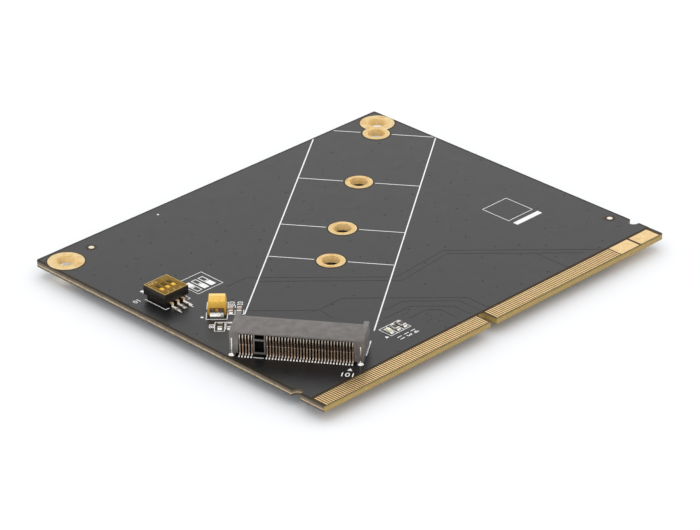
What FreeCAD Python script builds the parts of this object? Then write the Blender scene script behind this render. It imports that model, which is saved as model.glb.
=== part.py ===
"""M.2 to edge-connector adapter card: a bare printed board that carries one solid-state module.

All lengths are in millimetres. The board lies flat with its underside on Z = 0. X runs along the edge
contacts, Y from the contact edge to the rear edge, and the origin is the middle of the underside.
Every function returns solids, and each group of like solids is one node in parts/NODE.step.
"""
import FreeCAD, Part
import math
import os

V = FreeCAD.Vector
ROUNDING = 1e-6

# ---------------------------------------------------------------------------------------------
# Board
BOARD_LENGTH = 82.0              # along the contact edge
BOARD_DEPTH = 70.0               # contact edge to rear edge
BOARD_THICKNESS = 1.2
COPPER = 0.04                    # thickness of the exposed copper
EDGE_CHAMFER = 0.15              # lead-in along the contact edge, both faces
BOARD_CORNER_RADIUS = 0.4

# Notches in the contact edge and in the two side edges
KEY_NOTCH_WIDTH = 1.5
KEY_NOTCH_DEPTH = 3.2
SIDE_NOTCH_WIDTH = 2.0
SIDE_NOTCH_DEPTH = 1.3
SIDE_NOTCH_FROM_EDGE = 6.55      # contact edge to the middle of a side notch

# Edge contacts
CONTACT_PITCH = 0.5
CONTACT_WIDTH = 0.35
CONTACT_LENGTH = 2.85
KEY_FROM_MIDDLE = -2.0           # middle of the key notch, along X
KEY_POSITIONS = 4                # contact positions lost to the key notch
ROW_STAGGER = 0.25               # underside contacts stand half a pitch along
ROW_END_MARGIN = 0.75            # left edge to the middle of the last contact, at least
POWER_PAD_WIDTH = 4.65
POWER_PAD_GAP = 0.5
POWER_PAD_COUNT = 2
POWER_PAD_FROM_SIDE = 1.0
POWER_PAD_CLEARANCE = 0.25       # fine contacts to the first power pad, at least
BARE_MARGIN = 0.25               # bare laminate between the contacts' inner ends and the mask

# Plated holes
CORNER_HOLE_RADIUS = 1.6
CORNER_RING_RADIUS = 3.2
CORNER_HOLE_FROM_SIDE = 3.3
CORNER_HOLE_FROM_REAR = 4.0
STANDOFF_HOLE_RADIUS = 1.6
STANDOFF_RING_RADIUS = 2.5
MODULE_LENGTHS = (30.0, 42.0, 60.0, 80.0)
LAST_STANDOFF_INBOARD = 3.22     # right corner hole to the longest module's hole, along X
LAST_STANDOFF_FORWARD = 2.93     # and along Y; their rings run into each other

# Fiducial marks: distances from the nearest side edge and from the rear or contact edge
FIDUCIAL_RADIUS = 0.5
REAR_FIDUCIAL_FROM_SIDE = 9.6
REAR_FIDUCIAL_FROM_REAR = 3.3
FRONT_FIDUCIAL_FROM_SIDE = 2.2
FRONT_FIDUCIAL_FROM_EDGE = 10.3

# ---------------------------------------------------------------------------------------------
# Module socket, in its own frame: u points out of the mouth, v along the socket, h up from the board.
# The stop of a fully inserted module is at u = 0.
SOCKET_FROM_EDGE = 16.325        # contact edge to the socket's datum
HOUSING_LENGTH = 21.9
HOUSING_HEIGHT = 4.2
HOUSING_REAR = -4.0
ROOF_FRONT = 1.5
JAW_FRONT = 2.65
EAR_THICKNESS = 0.85
END_FOOT_WIDTH = 1.05
UNDERSIDE_GAP = 0.35             # board to the housing's raised middle
SLOT_FLOOR = 2.35
SLOT_HEIGHT = 1.0
SLOT_END_WALL = 0.975
SLOT_LENGTH = HOUSING_LENGTH - 2 * SLOT_END_WALL
SLOT_STOP_CLEARANCE = 0.1
MOUTH_CHAMFER = 0.2
PIN_PITCH = 0.5
PIN_WIDTH = 0.2
PIN_THICKNESS = 0.15
PIN_SIDE_CLEARANCE = 0.05
PIN_FROM_END = 1.7               # housing end to the first upper pin, at least
KEY_FIRST_UPPER = 5              # upper positions counted from the +v end before the key
KEY_FIRST_LOWER = KEY_FIRST_UPPER - 1
KEYED_PINS = 4
KEY_RIB_WIDTH = 1.1
COMB_BAR_DEPTH = 0.25
COMB_BAR_BOTTOM = 2.76
COMB_BAR_TOP = 3.1
WINDOW_TOP = 3.9
WINDOW_BOTTOM = 0.7
RIB_BOTTOM = 1.95                # the ribs between the legs stop here
RIB_RECESS = 0.7
LOWER_BAR_SETBACK = 0.4
KEY_WINDOW_WIDTH = 1.56
KEY_WINDOW_DEPTH = 1.1
KEY_FRAME = 0.22
CAVITY_FRONT = 1.2
LEG_CHAMBER_FRONT = -2.75
LOWER_CAVITY_REAR = -2.6
LOWER_CAVITY_FLOOR = 1.15
REAR_LEG_U = -3.75
REAR_TAIL_END = -4.55
FRONT_LEG_GAP = 0.03             # jaw's front face to the legs
FRONT_LEG_U = JAW_FRONT + PIN_THICKNESS / 2 + FRONT_LEG_GAP
FRONT_TAIL_LENGTH = 0.75
CONTACT_PRELOAD = 0.2            # how far a free contact point stands into the slot
UPPER_POINT_SETBACK = 0.4        # cavity's front to the upper contact point
UPPER_ROOT_SETBACK = 1.7         # and to the beam's root
UPPER_LEG_SETBACK = 0.2          # leg chamber's front to the leg's top
CRANK_DROP = 0.2                 # rib's lower end to the crank in the leg
LOWER_POINT_SETBACK = 0.6        # roof's front to the lower contact point
LOWER_FOLD_GAP = 0.15            # cavity's rear to the beam's fold
LOWER_FOLD_RISE = 0.35
PEG_U = 0.2
PEG_FROM_END = 1.1
PEG_RADII = (0.55, 0.8)
PEG_LENGTH = 1.0
PEG_CLEARANCE = 0.05
TAB_THICKNESS = 0.25
TAB_HEIGHT = 3.1
TAB_DEPTH = 0.9
TAB_OVERHANG = 0.12
TAB_FROM_END = 0.42
SOLDER_REACH = 0.22
SOLDER_RISE = 0.12
TAB_BLOB_FOOT = 0.57
TAB_BLOB_TOP = 0.26
TAB_BLOB_RISE = 0.36

# ---------------------------------------------------------------------------------------------
# Three-way slide switch: local x along its row of levers, local y across, h up from the board
SWITCH_FROM_SIDE = 6.4
SWITCH_FROM_EDGE = 44.1          # contact edge to the switch's middle
POLES = 3
POLE_PITCH = 1.27
COVER_END_MARGIN = 1.35          # outermost lever to the end of the cover
COVER_WIDTH = 5.4
COVER_WALL = 0.42
COVER_BOTTOM = 0.85
COVER_TOP = 2.5
COVER_ROOF = 0.45
FILM_THICKNESS = 0.06
BASE_TOP = 1.75
CHANNEL_WIDTH = 0.94
CHANNEL_FLOOR = 0.6
CHANNEL_LENGTH = 4.0
SLIDE_CLEARANCE = 0.05
LEVER_WIDTH = 0.7
LEVER_LENGTH = 0.9
LEVER_TRAVEL = 1.0
LEVER_BELOW_FILM = 0.08
CARRIAGE_LENGTH = 1.7
CARRIAGE_BOTTOM = 1.19
CLIP_THICKNESS = 0.08
CLIP_WIDTH = 0.5
CLIP_POINT = 0.55                # clip's contact points, either side of the lever's middle
CLIP_RAMP = 0.25                 # contact point to the clip's flat, along the lever
CLIP_TIP = 0.15                  # up-turned end beyond the contact point
TERMINAL_THICKNESS = 0.15
TERMINAL_WIDTH = 0.45
TERMINAL_SHOULDER = 3.0
TERMINAL_TOE = 3.9
FRONT_PLATE_END = 0.15
REAR_PLATE_END = 0.6

# ---------------------------------------------------------------------------------------------
# Moulded tantalum capacitor and its row of chips, all turned to the same angle
POWER_GROUP_ANGLE = 45.0
CAPACITOR_FROM_SIDE = 9.35
CAPACITOR_FROM_EDGE = 34.8
CAPACITOR_LENGTH = 3.3
CAPACITOR_WIDTH = 3.1
CAPACITOR_HEIGHT = 2.5
CAPACITOR_STANDOFF = 0.08
CAPACITOR_PARTING = 1.35
CAPACITOR_TOP_DRAFT = 0.2
CAPACITOR_BOTTOM_DRAFT = 0.05
TERMINAL_STRIP_WIDTH = 2.35
TERMINAL_STRIP_THICKNESS = 0.13
TERMINAL_STRIP_UNDER = 0.8
TERMINAL_STRIP_ROOT = 0.4        # how far a lead runs into the body at the parting line
TERMINAL_NOTCH_WIDTH = 0.5
TERMINAL_NOTCH_DEPTH = 0.6

# Chips: long axis, width, height
CHIP_LENGTH = 1.6
CHIP_WIDTH = 0.8
CHIP_HEIGHT = 0.45
CHIP_CAP_LENGTH = 0.32
CHIP_CAP_THICKNESS = 0.03
COAT_THICKNESS = 0.02
CHIP_SOLDER_REACH = 0.3
# places of the chips beside the capacitor: along and across the group's own axes, from the capacitor
CHIP_CAPACITOR_PLACES = ((-0.1, -2.25), (-0.1, -3.65))
CHIP_RESISTOR_PLACES = ((-5.5, -0.65), (-5.5, -2.25))
# row of three chips near the contact edge: the light-emitting diode and two resistors
INDICATOR_FROM_SOCKET = 13.642    # socket's datum to the diode, along X
INDICATOR_FROM_EDGE = 9.7
INDICATOR_PITCH = 1.52
LED_BASE_HEIGHT = 0.2
LED_LENS_HEIGHT = 0.4
LED_LENS_CLEARANCE = 0.01
LED_LENS_DRAFT = 0.06


# ---------------------------------------------------------------------------------------------
# Helpers

def box(x0, x1, y0, y1, z0, z1):
    """A block between two opposite corners."""
    return Part.makeBox(x1 - x0, y1 - y0, z1 - z0, V(x0, y0, z0))


def disc(x, y, z, radius, height):
    """An upright cylinder that stands on z."""
    return Part.makeCylinder(radius, height, V(x, y, z))


def wedge(points, width):
    """A prism whose outline lies in the X-Z plane, centred on y = 0."""
    corners = [V(x, -width / 2, z) for x, z in points]
    return Part.Face(Part.makePolygon(corners + corners[:1])).extrude(V(0, width, 0))


def strip(centreline, thickness, width):
    """A bent strip of sheet metal: a centreline in the X-Z plane, given thickness with mitred bends."""
    points = [V(x, 0, z) for x, z in centreline]
    headings = [(b - a).normalize() for a, b in zip(points, points[1:])]
    normals = [V(-heading.z, 0, heading.x) for heading in headings]
    before = normals[:1] + normals
    after = normals + normals[-1:]
    offsets = [(a + b) * (thickness / 2 / (1 + a.dot(b))) for a, b in zip(before, after)]
    outline = [p + o for p, o in zip(points, offsets)]
    outline += [p - o for p, o in reversed(list(zip(points, offsets)))]
    return wedge([(p.x, p.z) for p in outline], width)


def moved(shape, x=0.0, y=0.0, z=0.0, angle=0.0):
    """A copy of a shape, turned about Z and then shifted."""
    placed = shape.copy()
    placed.rotate(V(0, 0, 0), V(0, 0, 1), angle)
    placed.translate(V(x, y, z))
    return placed


def mirrored(shape, normal):
    """The shape's mirror image through the origin."""
    return shape.mirror(V(0, 0, 0), normal)


def copies(span, pitch):
    """How many copies at a pitch fit on a span, with one at each end."""
    return int(span / pitch + ROUNDING) + 1


def row(shape, places):
    """Copies of a shape at a list of places along Y."""
    return [moved(shape, y=place) for place in places]


def on_board(shapes, x, y, angle=0.0):
    """Shapes built round a local origin, seated on the board's top face."""
    return [moved(shape, x, y, BOARD_THICKNESS, angle) for shape in shapes]


# ---------------------------------------------------------------------------------------------
# Places on the board

def left_edge():
    return -BOARD_LENGTH / 2


def contact_edge():
    return -BOARD_DEPTH / 2


def corner_holes():
    """Centres of the two holes at the rear corners, left then right."""
    x = BOARD_LENGTH / 2 - CORNER_HOLE_FROM_SIDE
    y = BOARD_DEPTH / 2 - CORNER_HOLE_FROM_REAR
    return [(-x, y), (x, y)]


def last_standoff():
    """Centre of the longest module's hole, beside the right corner hole."""
    x, y = corner_holes()[1]
    return x - LAST_STANDOFF_INBOARD, y - LAST_STANDOFF_FORWARD


def module_angle():
    """Direction of the module from X, in degrees: its length takes it from the socket to its hole."""
    rise = last_standoff()[1] - contact_edge() - SOCKET_FROM_EDGE
    return math.degrees(math.asin(rise / MODULE_LENGTHS[-1]))


def socket_datum():
    reach = MODULE_LENGTHS[-1] * math.cos(math.radians(module_angle()))
    return last_standoff()[0] - reach, contact_edge() + SOCKET_FROM_EDGE


def standoff_holes():
    """Centres of the standoff holes, one for each module length."""
    x, y = socket_datum()
    turn = math.radians(module_angle())
    return [(x + length * math.cos(turn), y + length * math.sin(turn)) for length in MODULE_LENGTHS]


def peg_places():
    """Local (u, v, radius) of the two locating pegs."""
    v = HOUSING_LENGTH / 2 - PEG_FROM_END
    return [(PEG_U, v, PEG_RADII[0]), (PEG_U, -v, PEG_RADII[1])]


def fiducial_places():
    left = left_edge() + REAR_FIDUCIAL_FROM_SIDE
    right = BOARD_LENGTH / 2 - FRONT_FIDUCIAL_FROM_SIDE
    rear = BOARD_DEPTH / 2 - REAR_FIDUCIAL_FROM_REAR
    return [(left, rear), (right, contact_edge() + FRONT_FIDUCIAL_FROM_EDGE)]


def power_pad_spans():
    """X range of each wide pad, at the right end of the row."""
    pitch = POWER_PAD_WIDTH + POWER_PAD_GAP
    start = BOARD_LENGTH / 2 - POWER_PAD_FROM_SIDE + POWER_PAD_GAP - POWER_PAD_COUNT * pitch
    return [(start + i * pitch, start + i * pitch + POWER_PAD_WIDTH) for i in range(POWER_PAD_COUNT)]


def contact_places(shift=0.0):
    """X of each fine contact: they fill both sides of the key, up to the left edge and the power pads."""
    first = (KEY_POSITIONS + 1) * CONTACT_PITCH / 2
    left = KEY_FROM_MIDDLE + shift - first
    right = KEY_FROM_MIDDLE + shift + first
    last = power_pad_spans()[0][0] - POWER_PAD_CLEARANCE - CONTACT_WIDTH / 2
    left_count = copies(left - left_edge() - ROW_END_MARGIN, CONTACT_PITCH)
    right_count = copies(last - right, CONTACT_PITCH)
    places = [left - i * CONTACT_PITCH for i in range(left_count)]
    return places + [right + i * CONTACT_PITCH for i in range(right_count)]


# ---------------------------------------------------------------------------------------------
# Board, edge contacts and platings

def rounded_board():
    """The board's plate, with rounded rear corners and a chamfered contact edge."""
    x, y = BOARD_LENGTH / 2, BOARD_DEPTH / 2
    plate = box(-x, x, -y, y, 0, BOARD_THICKNESS)
    uprights = [e for e in plate.Edges if abs(e.BoundBox.ZLength - BOARD_THICKNESS) < ROUNDING]
    plate = plate.makeFillet(BOARD_CORNER_RADIUS, uprights)
    reach = EDGE_CHAMFER
    cutter = Part.Face(Part.makePolygon([V(-x, -y, 0), V(-x, -y + reach, 0), V(-x, -y, reach), V(-x, -y, 0)]))
    lower = cutter.extrude(V(2 * x, 0, 0))
    upper = lower.mirror(V(0, 0, BOARD_THICKNESS / 2), V(0, 0, 1))
    return plate.cut([lower, upper])


def notch_cutters():
    """The round-ended key notch and the two round-ended side notches."""
    edge = contact_edge()
    half = KEY_NOTCH_WIDTH / 2
    end = edge + KEY_NOTCH_DEPTH - half
    key = box(KEY_FROM_MIDDLE - half, KEY_FROM_MIDDLE + half, edge, end, 0, BOARD_THICKNESS)
    cutters = [key.fuse(disc(KEY_FROM_MIDDLE, end, 0, half, BOARD_THICKNESS))]
    half = SIDE_NOTCH_WIDTH / 2
    inner = BOARD_LENGTH / 2 - SIDE_NOTCH_DEPTH + half
    y = edge + SIDE_NOTCH_FROM_EDGE
    side = box(inner, BOARD_LENGTH / 2, y - half, y + half, 0, BOARD_THICKNESS)
    side = side.fuse(disc(inner, y, 0, half, BOARD_THICKNESS))
    return cutters + [side, mirrored(side, V(1, 0, 0))]


def contact_recesses():
    """The mask-free strip along the contact edge, on both faces."""
    y0 = contact_edge()
    y1 = y0 + EDGE_CHAMFER + CONTACT_LENGTH + BARE_MARGIN
    x = BOARD_LENGTH / 2
    upper = box(-x, x, y0, y1, BOARD_THICKNESS - COPPER, BOARD_THICKNESS)
    return [upper, box(-x, x, y0, y1, 0, COPPER)]


def circuit_board():
    cutters = notch_cutters() + contact_recesses()
    cutters += [disc(x, y, 0, CORNER_HOLE_RADIUS, BOARD_THICKNESS) for x, y in corner_holes()]
    cutters += [disc(x, y, 0, STANDOFF_HOLE_RADIUS, BOARD_THICKNESS) for x, y in standoff_holes()]
    peg_holes = [disc(u, v, -BOARD_THICKNESS, r + PEG_CLEARANCE, BOARD_THICKNESS) for u, v, r in peg_places()]
    cutters += on_board(peg_holes, *socket_datum(), module_angle())
    return [rounded_board().cut(cutters)]


def edge_pad(x0, x1, below):
    y0 = contact_edge() + EDGE_CHAMFER
    z0 = 0 if below else BOARD_THICKNESS - COPPER
    return box(x0, x1, y0, y0 + CONTACT_LENGTH, z0, z0 + COPPER)


def edge_contacts(places, below):
    half = CONTACT_WIDTH / 2
    return [edge_pad(x - half, x + half, below) for x in places]


def power_pads():
    return [edge_pad(x0, x1, below) for below in (False, True) for x0, x1 in power_pad_spans()]


def plating(holes):
    """The flat copper rings of (x, y, hole radius, ring radius), as one piece where they meet."""
    rings = [disc(x, y, BOARD_THICKNESS, ring_radius, COPPER) for x, y, _, ring_radius in holes]
    blank = rings[0].fuse(rings[1:]) if len(rings) > 1 else rings[0]
    bores = [disc(x, y, BOARD_THICKNESS, hole_radius, COPPER) for x, y, hole_radius, _ in holes]
    return blank.removeSplitter().cut(bores).Solids


def corner_plating(index):
    x, y = corner_holes()[index]
    return x, y, CORNER_HOLE_RADIUS, CORNER_RING_RADIUS


def standoff_plating(index):
    x, y = standoff_holes()[index]
    return x, y, STANDOFF_HOLE_RADIUS, STANDOFF_RING_RADIUS


def fiducials():
    return [disc(x, y, BOARD_THICKNESS, FIDUCIAL_RADIUS, COPPER) for x, y in fiducial_places()]


# ---------------------------------------------------------------------------------------------
# Module socket, built in its local frame (x = u, y = v, z = h)

def pin_row(positions, before_key):
    """v of each pin in a row, from the +v end, without the keyed positions."""
    first = (positions - 1) * PIN_PITCH / 2
    keyed = range(before_key, before_key + KEYED_PINS)
    return [first - i * PIN_PITCH for i in range(positions) if i not in keyed]


def upper_positions():
    return copies(HOUSING_LENGTH - 2 * PIN_FROM_END, PIN_PITCH)


def upper_row():
    return pin_row(upper_positions(), KEY_FIRST_UPPER)


def lower_row():
    return pin_row(upper_positions() - 1, KEY_FIRST_LOWER)


def comb_half_length():
    return upper_positions() * PIN_PITCH / 2


def key_middle():
    """v of the middle of the keyed positions."""
    first = (upper_positions() - 1) * PIN_PITCH / 2
    return first - (KEY_FIRST_UPPER + (KEYED_PINS - 1) / 2) * PIN_PITCH


def housing_block():
    """The outer form: roof, longer lower jaw, two ears beside the mouth and the end feet."""
    half = HOUSING_LENGTH / 2
    ear = half - EAR_THICKNESS
    foot = half - END_FOOT_WIDTH
    block = box(HOUSING_REAR, ROOF_FRONT, -half, half, UNDERSIDE_GAP, HOUSING_HEIGHT)
    jaw = box(ROOF_FRONT, JAW_FRONT, -half, half, UNDERSIDE_GAP, SLOT_FLOOR)
    additions = [jaw]
    for v0, v1 in ((ear, half), (-half, -ear)):
        additions.append(box(ROOF_FRONT, JAW_FRONT, v0, v1, SLOT_FLOOR, HOUSING_HEIGHT))
    for v0, v1 in ((foot, half), (-half, -foot)):
        additions.append(box(HOUSING_REAR, JAW_FRONT, v0, v1, 0, UNDERSIDE_GAP))
    for u, v, radius in peg_places():
        additions.append(disc(u, v, -PEG_LENGTH, radius, PEG_LENGTH + UNDERSIDE_GAP))
    return block.fuse(additions).removeSplitter()


def slot_cutters():
    """The module slot on both sides of the key rib, with a lead-in at its mouth."""
    half = SLOT_LENGTH / 2
    top = SLOT_FLOOR + SLOT_HEIGHT
    lead = MOUTH_CHAMFER
    key_low = key_middle() - KEY_RIB_WIDTH / 2
    key_high = key_middle() + KEY_RIB_WIDTH / 2
    floor = SLOT_FLOOR
    cutters = []
    for v0, v1 in ((-half, key_low), (key_high, half)):
        cutters.append(box(-SLOT_STOP_CLEARANCE, JAW_FRONT, v0, v1, floor, top))
    roof = wedge([(ROOF_FRONT - lead, top), (ROOF_FRONT, top), (ROOF_FRONT, top + lead)], 2 * half)
    jaw = wedge([(JAW_FRONT - lead, floor), (JAW_FRONT, floor), (JAW_FRONT, floor - lead)], 2 * half)
    return cutters + [roof, jaw]


def cavity_cutters():
    """Contact cavities: roof grooves and leg chambers for the upper row, jaw grooves for the lower."""
    half = PIN_WIDTH / 2 + PIN_SIDE_CLEARANCE
    roof_groove = box(HOUSING_REAR, CAVITY_FRONT, -half, half, COMB_BAR_TOP, WINDOW_TOP)
    chamber = box(HOUSING_REAR, LEG_CHAMBER_FRONT, -half, half, WINDOW_BOTTOM, COMB_BAR_TOP)
    jaw_groove = box(LOWER_CAVITY_REAR, JAW_FRONT, -half, half, LOWER_CAVITY_FLOOR, SLOT_FLOOR)
    upper = roof_groove.fuse(chamber).removeSplitter()
    return row(upper, upper_row()) + row(jaw_groove, lower_row())


def comb_cutters():
    """Openings in the rear wall: the recess behind the legs and the two windows at the key."""
    end = comb_half_length()
    frame = KEY_WINDOW_WIDTH / 2 + KEY_FRAME
    key = key_middle()
    cutters = []
    for v0, v1 in ((-end, key - frame), (key + frame, end)):
        recess = box(HOUSING_REAR, HOUSING_REAR + RIB_RECESS, v0, v1, WINDOW_BOTTOM, RIB_BOTTOM)
        setback = box(HOUSING_REAR, HOUSING_REAR + LOWER_BAR_SETBACK, v0, v1, UNDERSIDE_GAP, WINDOW_BOTTOM)
        cutters += [recess, setback]
    v0, v1 = key - KEY_WINDOW_WIDTH / 2, key + KEY_WINDOW_WIDTH / 2
    for h0, h1 in ((WINDOW_BOTTOM, COMB_BAR_BOTTOM), (COMB_BAR_TOP, WINDOW_TOP)):
        cutters.append(box(HOUSING_REAR, HOUSING_REAR + KEY_WINDOW_DEPTH, v0, v1, h0, h1))
    return cutters


def comb_bar():
    """The bar that runs across the rear comb, in front of the legs."""
    end = comb_half_length()
    return box(HOUSING_REAR, HOUSING_REAR + COMB_BAR_DEPTH, -end, end, COMB_BAR_BOTTOM, COMB_BAR_TOP)


def tab_places():
    v = HOUSING_LENGTH / 2 - TAB_FROM_END
    return [v, -v]


def weld_tab():
    """A flat upright tab that holds one end of the housing down, with a foot on the board."""
    u0 = HOUSING_REAR - TAB_OVERHANG
    return box(u0, HOUSING_REAR + TAB_DEPTH, -TAB_THICKNESS / 2, TAB_THICKNESS / 2, 0, TAB_HEIGHT)


def weld_tabs():
    return row(weld_tab(), tab_places())


def socket_housing():
    housing = housing_block().cut(slot_cutters() + cavity_cutters() + comb_cutters())
    housing = housing.fuse(comb_bar()).removeSplitter()
    return [housing.cut(weld_tabs())]


def upper_contact():
    """Roof beam down to its contact point, a cranked leg behind the comb bar and a flat tail."""
    roof = SLOT_FLOOR + SLOT_HEIGHT
    beam = (COMB_BAR_TOP + WINDOW_TOP) / 2
    tail = PIN_THICKNESS / 2
    return strip([
        (CAVITY_FRONT - UPPER_POINT_SETBACK, roof - CONTACT_PRELOAD + tail),
        (CAVITY_FRONT - UPPER_ROOT_SETBACK, beam),
        (LEG_CHAMBER_FRONT - UPPER_LEG_SETBACK, beam),
        (REAR_LEG_U, RIB_BOTTOM - CRANK_DROP),
        (REAR_LEG_U, tail),
        (REAR_TAIL_END, tail),
    ], PIN_THICKNESS, PIN_WIDTH)


def lower_contact():
    """Jaw beam folded back on itself, with a leg down the front of the jaw and a flat tail."""
    tail = PIN_THICKNESS / 2
    floor = LOWER_CAVITY_FLOOR + tail + PIN_SIDE_CLEARANCE
    fold = LOWER_CAVITY_REAR + LOWER_FOLD_GAP
    return strip([
        (FRONT_LEG_U + FRONT_TAIL_LENGTH, tail),
        (FRONT_LEG_U, tail),
        (FRONT_LEG_U, floor),
        (fold, floor),
        (fold, floor + LOWER_FOLD_RISE),
        (ROOF_FRONT - LOWER_POINT_SETBACK, SLOT_FLOOR + CONTACT_PRELOAD - tail),
    ], PIN_THICKNESS, PIN_WIDTH)


def socket_solder():
    """A fillet of solder at the end of every tail and round each weld tab's foot."""
    rise = SOLDER_RISE
    rear = REAR_TAIL_END
    front = FRONT_LEG_U + FRONT_TAIL_LENGTH
    rear_fillet = wedge([(rear, 0), (rear, rise), (rear - SOLDER_REACH, 0)], PIN_WIDTH)
    front_fillet = wedge([(front, 0), (front, rise), (front + SOLDER_REACH, 0)], PIN_WIDTH)
    return row(rear_fillet, upper_row()) + row(front_fillet, lower_row())


def tab_solder():
    """The larger blobs of solder against the weld tabs' rear edges."""
    u = HOUSING_REAR - TAB_OVERHANG
    blob = Part.makeCone(TAB_BLOB_FOOT, TAB_BLOB_TOP, TAB_BLOB_RISE)
    half = blob.common(box(-TAB_BLOB_FOOT, 0, -TAB_BLOB_FOOT, TAB_BLOB_FOOT, 0, TAB_BLOB_RISE))
    return row(moved(half, x=u), tab_places())


# ---------------------------------------------------------------------------------------------
# Slide switch, built in its local frame (x along the levers, y across, z = h)

def pole_places():
    return [(i - (POLES - 1) / 2) * POLE_PITCH for i in range(POLES)]


def cover_half_length():
    return (POLES - 1) / 2 * POLE_PITCH + COVER_END_MARGIN


def along_poles(shape):
    return [moved(shape, x=x) for x in pole_places()]


def lever_rest():
    """Local y of a lever's middle at rest, at the front end of its travel."""
    return -LEVER_TRAVEL / 2


def switch_terminal(plate_end, side):
    """A gull-wing terminal: plate on the channel floor, shoulder, upright and foot. Side is -1 or 1."""
    level = CHANNEL_FLOOR + TERMINAL_THICKNESS / 2
    foot = TERMINAL_THICKNESS / 2
    points = [(plate_end, level), (side * TERMINAL_SHOULDER, level)]
    points += [(side * TERMINAL_SHOULDER, foot), (side * TERMINAL_TOE, foot)]
    return moved(strip(points, TERMINAL_THICKNESS, TERMINAL_WIDTH), angle=90)


def front_terminals():
    return along_poles(switch_terminal(FRONT_PLATE_END, -1))


def rear_terminals():
    return along_poles(switch_terminal(REAR_PLATE_END, 1))


def switch_base():
    """The moulded base with one channel for each lever, closed round the terminals."""
    x = cover_half_length() - COVER_WALL
    y = COVER_WIDTH / 2 - COVER_WALL
    base = box(-x, x, -y, y, 0, BASE_TOP)
    half = CHANNEL_WIDTH / 2
    channel = box(-half, half, -CHANNEL_LENGTH / 2, CHANNEL_LENGTH / 2, CHANNEL_FLOOR, BASE_TOP)
    return [base.cut(along_poles(channel) + front_terminals() + rear_terminals())]


def switch_cover():
    """The cover: a roof with a slot for each lever, and a skirt over the base."""
    x, y = cover_half_length(), COVER_WIDTH / 2
    ceiling = COVER_TOP - COVER_ROOF
    cover = box(-x, x, -y, y, COVER_BOTTOM, COVER_TOP)
    inside = box(-x + COVER_WALL, x - COVER_WALL, -y + COVER_WALL, y - COVER_WALL, COVER_BOTTOM, ceiling)
    half_width = LEVER_WIDTH / 2 + SLIDE_CLEARANCE
    half_length = (LEVER_LENGTH + LEVER_TRAVEL) / 2 + SLIDE_CLEARANCE
    slot = box(-half_width, half_width, -half_length, half_length, ceiling, COVER_TOP)
    return [cover.cut([inside] + along_poles(slot))]


def switch_film():
    x, y = cover_half_length(), COVER_WIDTH / 2
    return [box(-x, x, -y, y, COVER_TOP, COVER_TOP + FILM_THICKNESS)]


def switch_lever(x):
    """One sliding lever: a carriage that runs in the channel and a knob in the cover's slot."""
    ceiling = COVER_TOP - COVER_ROOF
    y = lever_rest()
    half = CHANNEL_WIDTH / 2 - SLIDE_CLEARANCE
    reach = CARRIAGE_LENGTH / 2
    carriage = box(-half, half, -reach, reach, CARRIAGE_BOTTOM, ceiling - SLIDE_CLEARANCE)
    wide, long = LEVER_WIDTH / 2, LEVER_LENGTH / 2
    knob = box(-wide, wide, -long, long, CARRIAGE_BOTTOM, COVER_TOP - LEVER_BELOW_FILM)
    return [moved(carriage.fuse(knob).removeSplitter(), x, y)]


def lever_clip(x):
    """The springy bridge under a lever, which joins the two plates when the lever is on."""
    top = CARRIAGE_BOTTOM - CLIP_THICKNESS / 2
    point = CHANNEL_FLOOR + TERMINAL_THICKNESS + SLIDE_CLEARANCE + CLIP_THICKNESS / 2
    flat = CLIP_POINT - CLIP_RAMP
    tip = CLIP_POINT + CLIP_TIP
    points = [(-tip, point + CLIP_TIP), (-CLIP_POINT, point), (-flat, top)]
    points += [(flat, top), (CLIP_POINT, point), (tip, point + CLIP_TIP)]
    clip = moved(strip(points, CLIP_THICKNESS, CLIP_WIDTH), angle=90)
    return [moved(clip, x, lever_rest())]


def switch_solder():
    toe = TERMINAL_TOE
    fillet = wedge([(toe, 0), (toe, SOLDER_RISE), (toe + SOLDER_REACH, 0)], TERMINAL_WIDTH)
    rear = moved(fillet, angle=90)
    front = moved(fillet, angle=-90)
    return along_poles(rear) + along_poles(front)


# ---------------------------------------------------------------------------------------------
# Capacitor, chips and light-emitting diode, built round a local origin with x along the part

def frustum(length, width, h0, h1, inset0, inset1):
    """A drafted block: its outline is drawn in by inset0 at h0 and by inset1 at h1."""
    outlines = []
    for h, inset in ((h0, inset0), (h1, inset1)):
        x, y = length / 2 - inset, width / 2 - inset
        corners = [V(-x, -y, h), V(x, -y, h), V(x, y, h), V(-x, y, h)]
        outlines.append(Part.makePolygon(corners + corners[:1]))
    return Part.makeLoft(outlines, True, True)


def capacitor_terminal():
    """One lead strip: out of the parting line, down the end face and under the body."""
    half = CAPACITOR_LENGTH / 2
    middle = TERMINAL_STRIP_THICKNESS / 2
    down = half + middle
    points = [(half - TERMINAL_STRIP_ROOT, CAPACITOR_PARTING), (down, CAPACITOR_PARTING)]
    points += [(down, middle), (half - TERMINAL_STRIP_UNDER, middle)]
    lead = strip(points, TERMINAL_STRIP_THICKNESS, TERMINAL_STRIP_WIDTH)
    notch_floor = CAPACITOR_PARTING + middle - TERMINAL_NOTCH_DEPTH
    half_notch = TERMINAL_NOTCH_WIDTH / 2
    outer = down + TERMINAL_STRIP_THICKNESS
    notch_top = CAPACITOR_PARTING + TERMINAL_STRIP_THICKNESS
    notch = box(half, outer, -half_notch, half_notch, notch_floor, notch_top)
    return lead.cut(notch)


def capacitor_terminals():
    lead = capacitor_terminal()
    return [lead, moved(lead, angle=180)]


def capacitor_body():
    size = CAPACITOR_LENGTH, CAPACITOR_WIDTH
    lower = frustum(*size, CAPACITOR_STANDOFF, CAPACITOR_PARTING, CAPACITOR_BOTTOM_DRAFT, 0)
    upper = frustum(*size, CAPACITOR_PARTING, CAPACITOR_HEIGHT, 0, CAPACITOR_TOP_DRAFT)
    return [lower.fuse(upper).cut(capacitor_terminals())]


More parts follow.
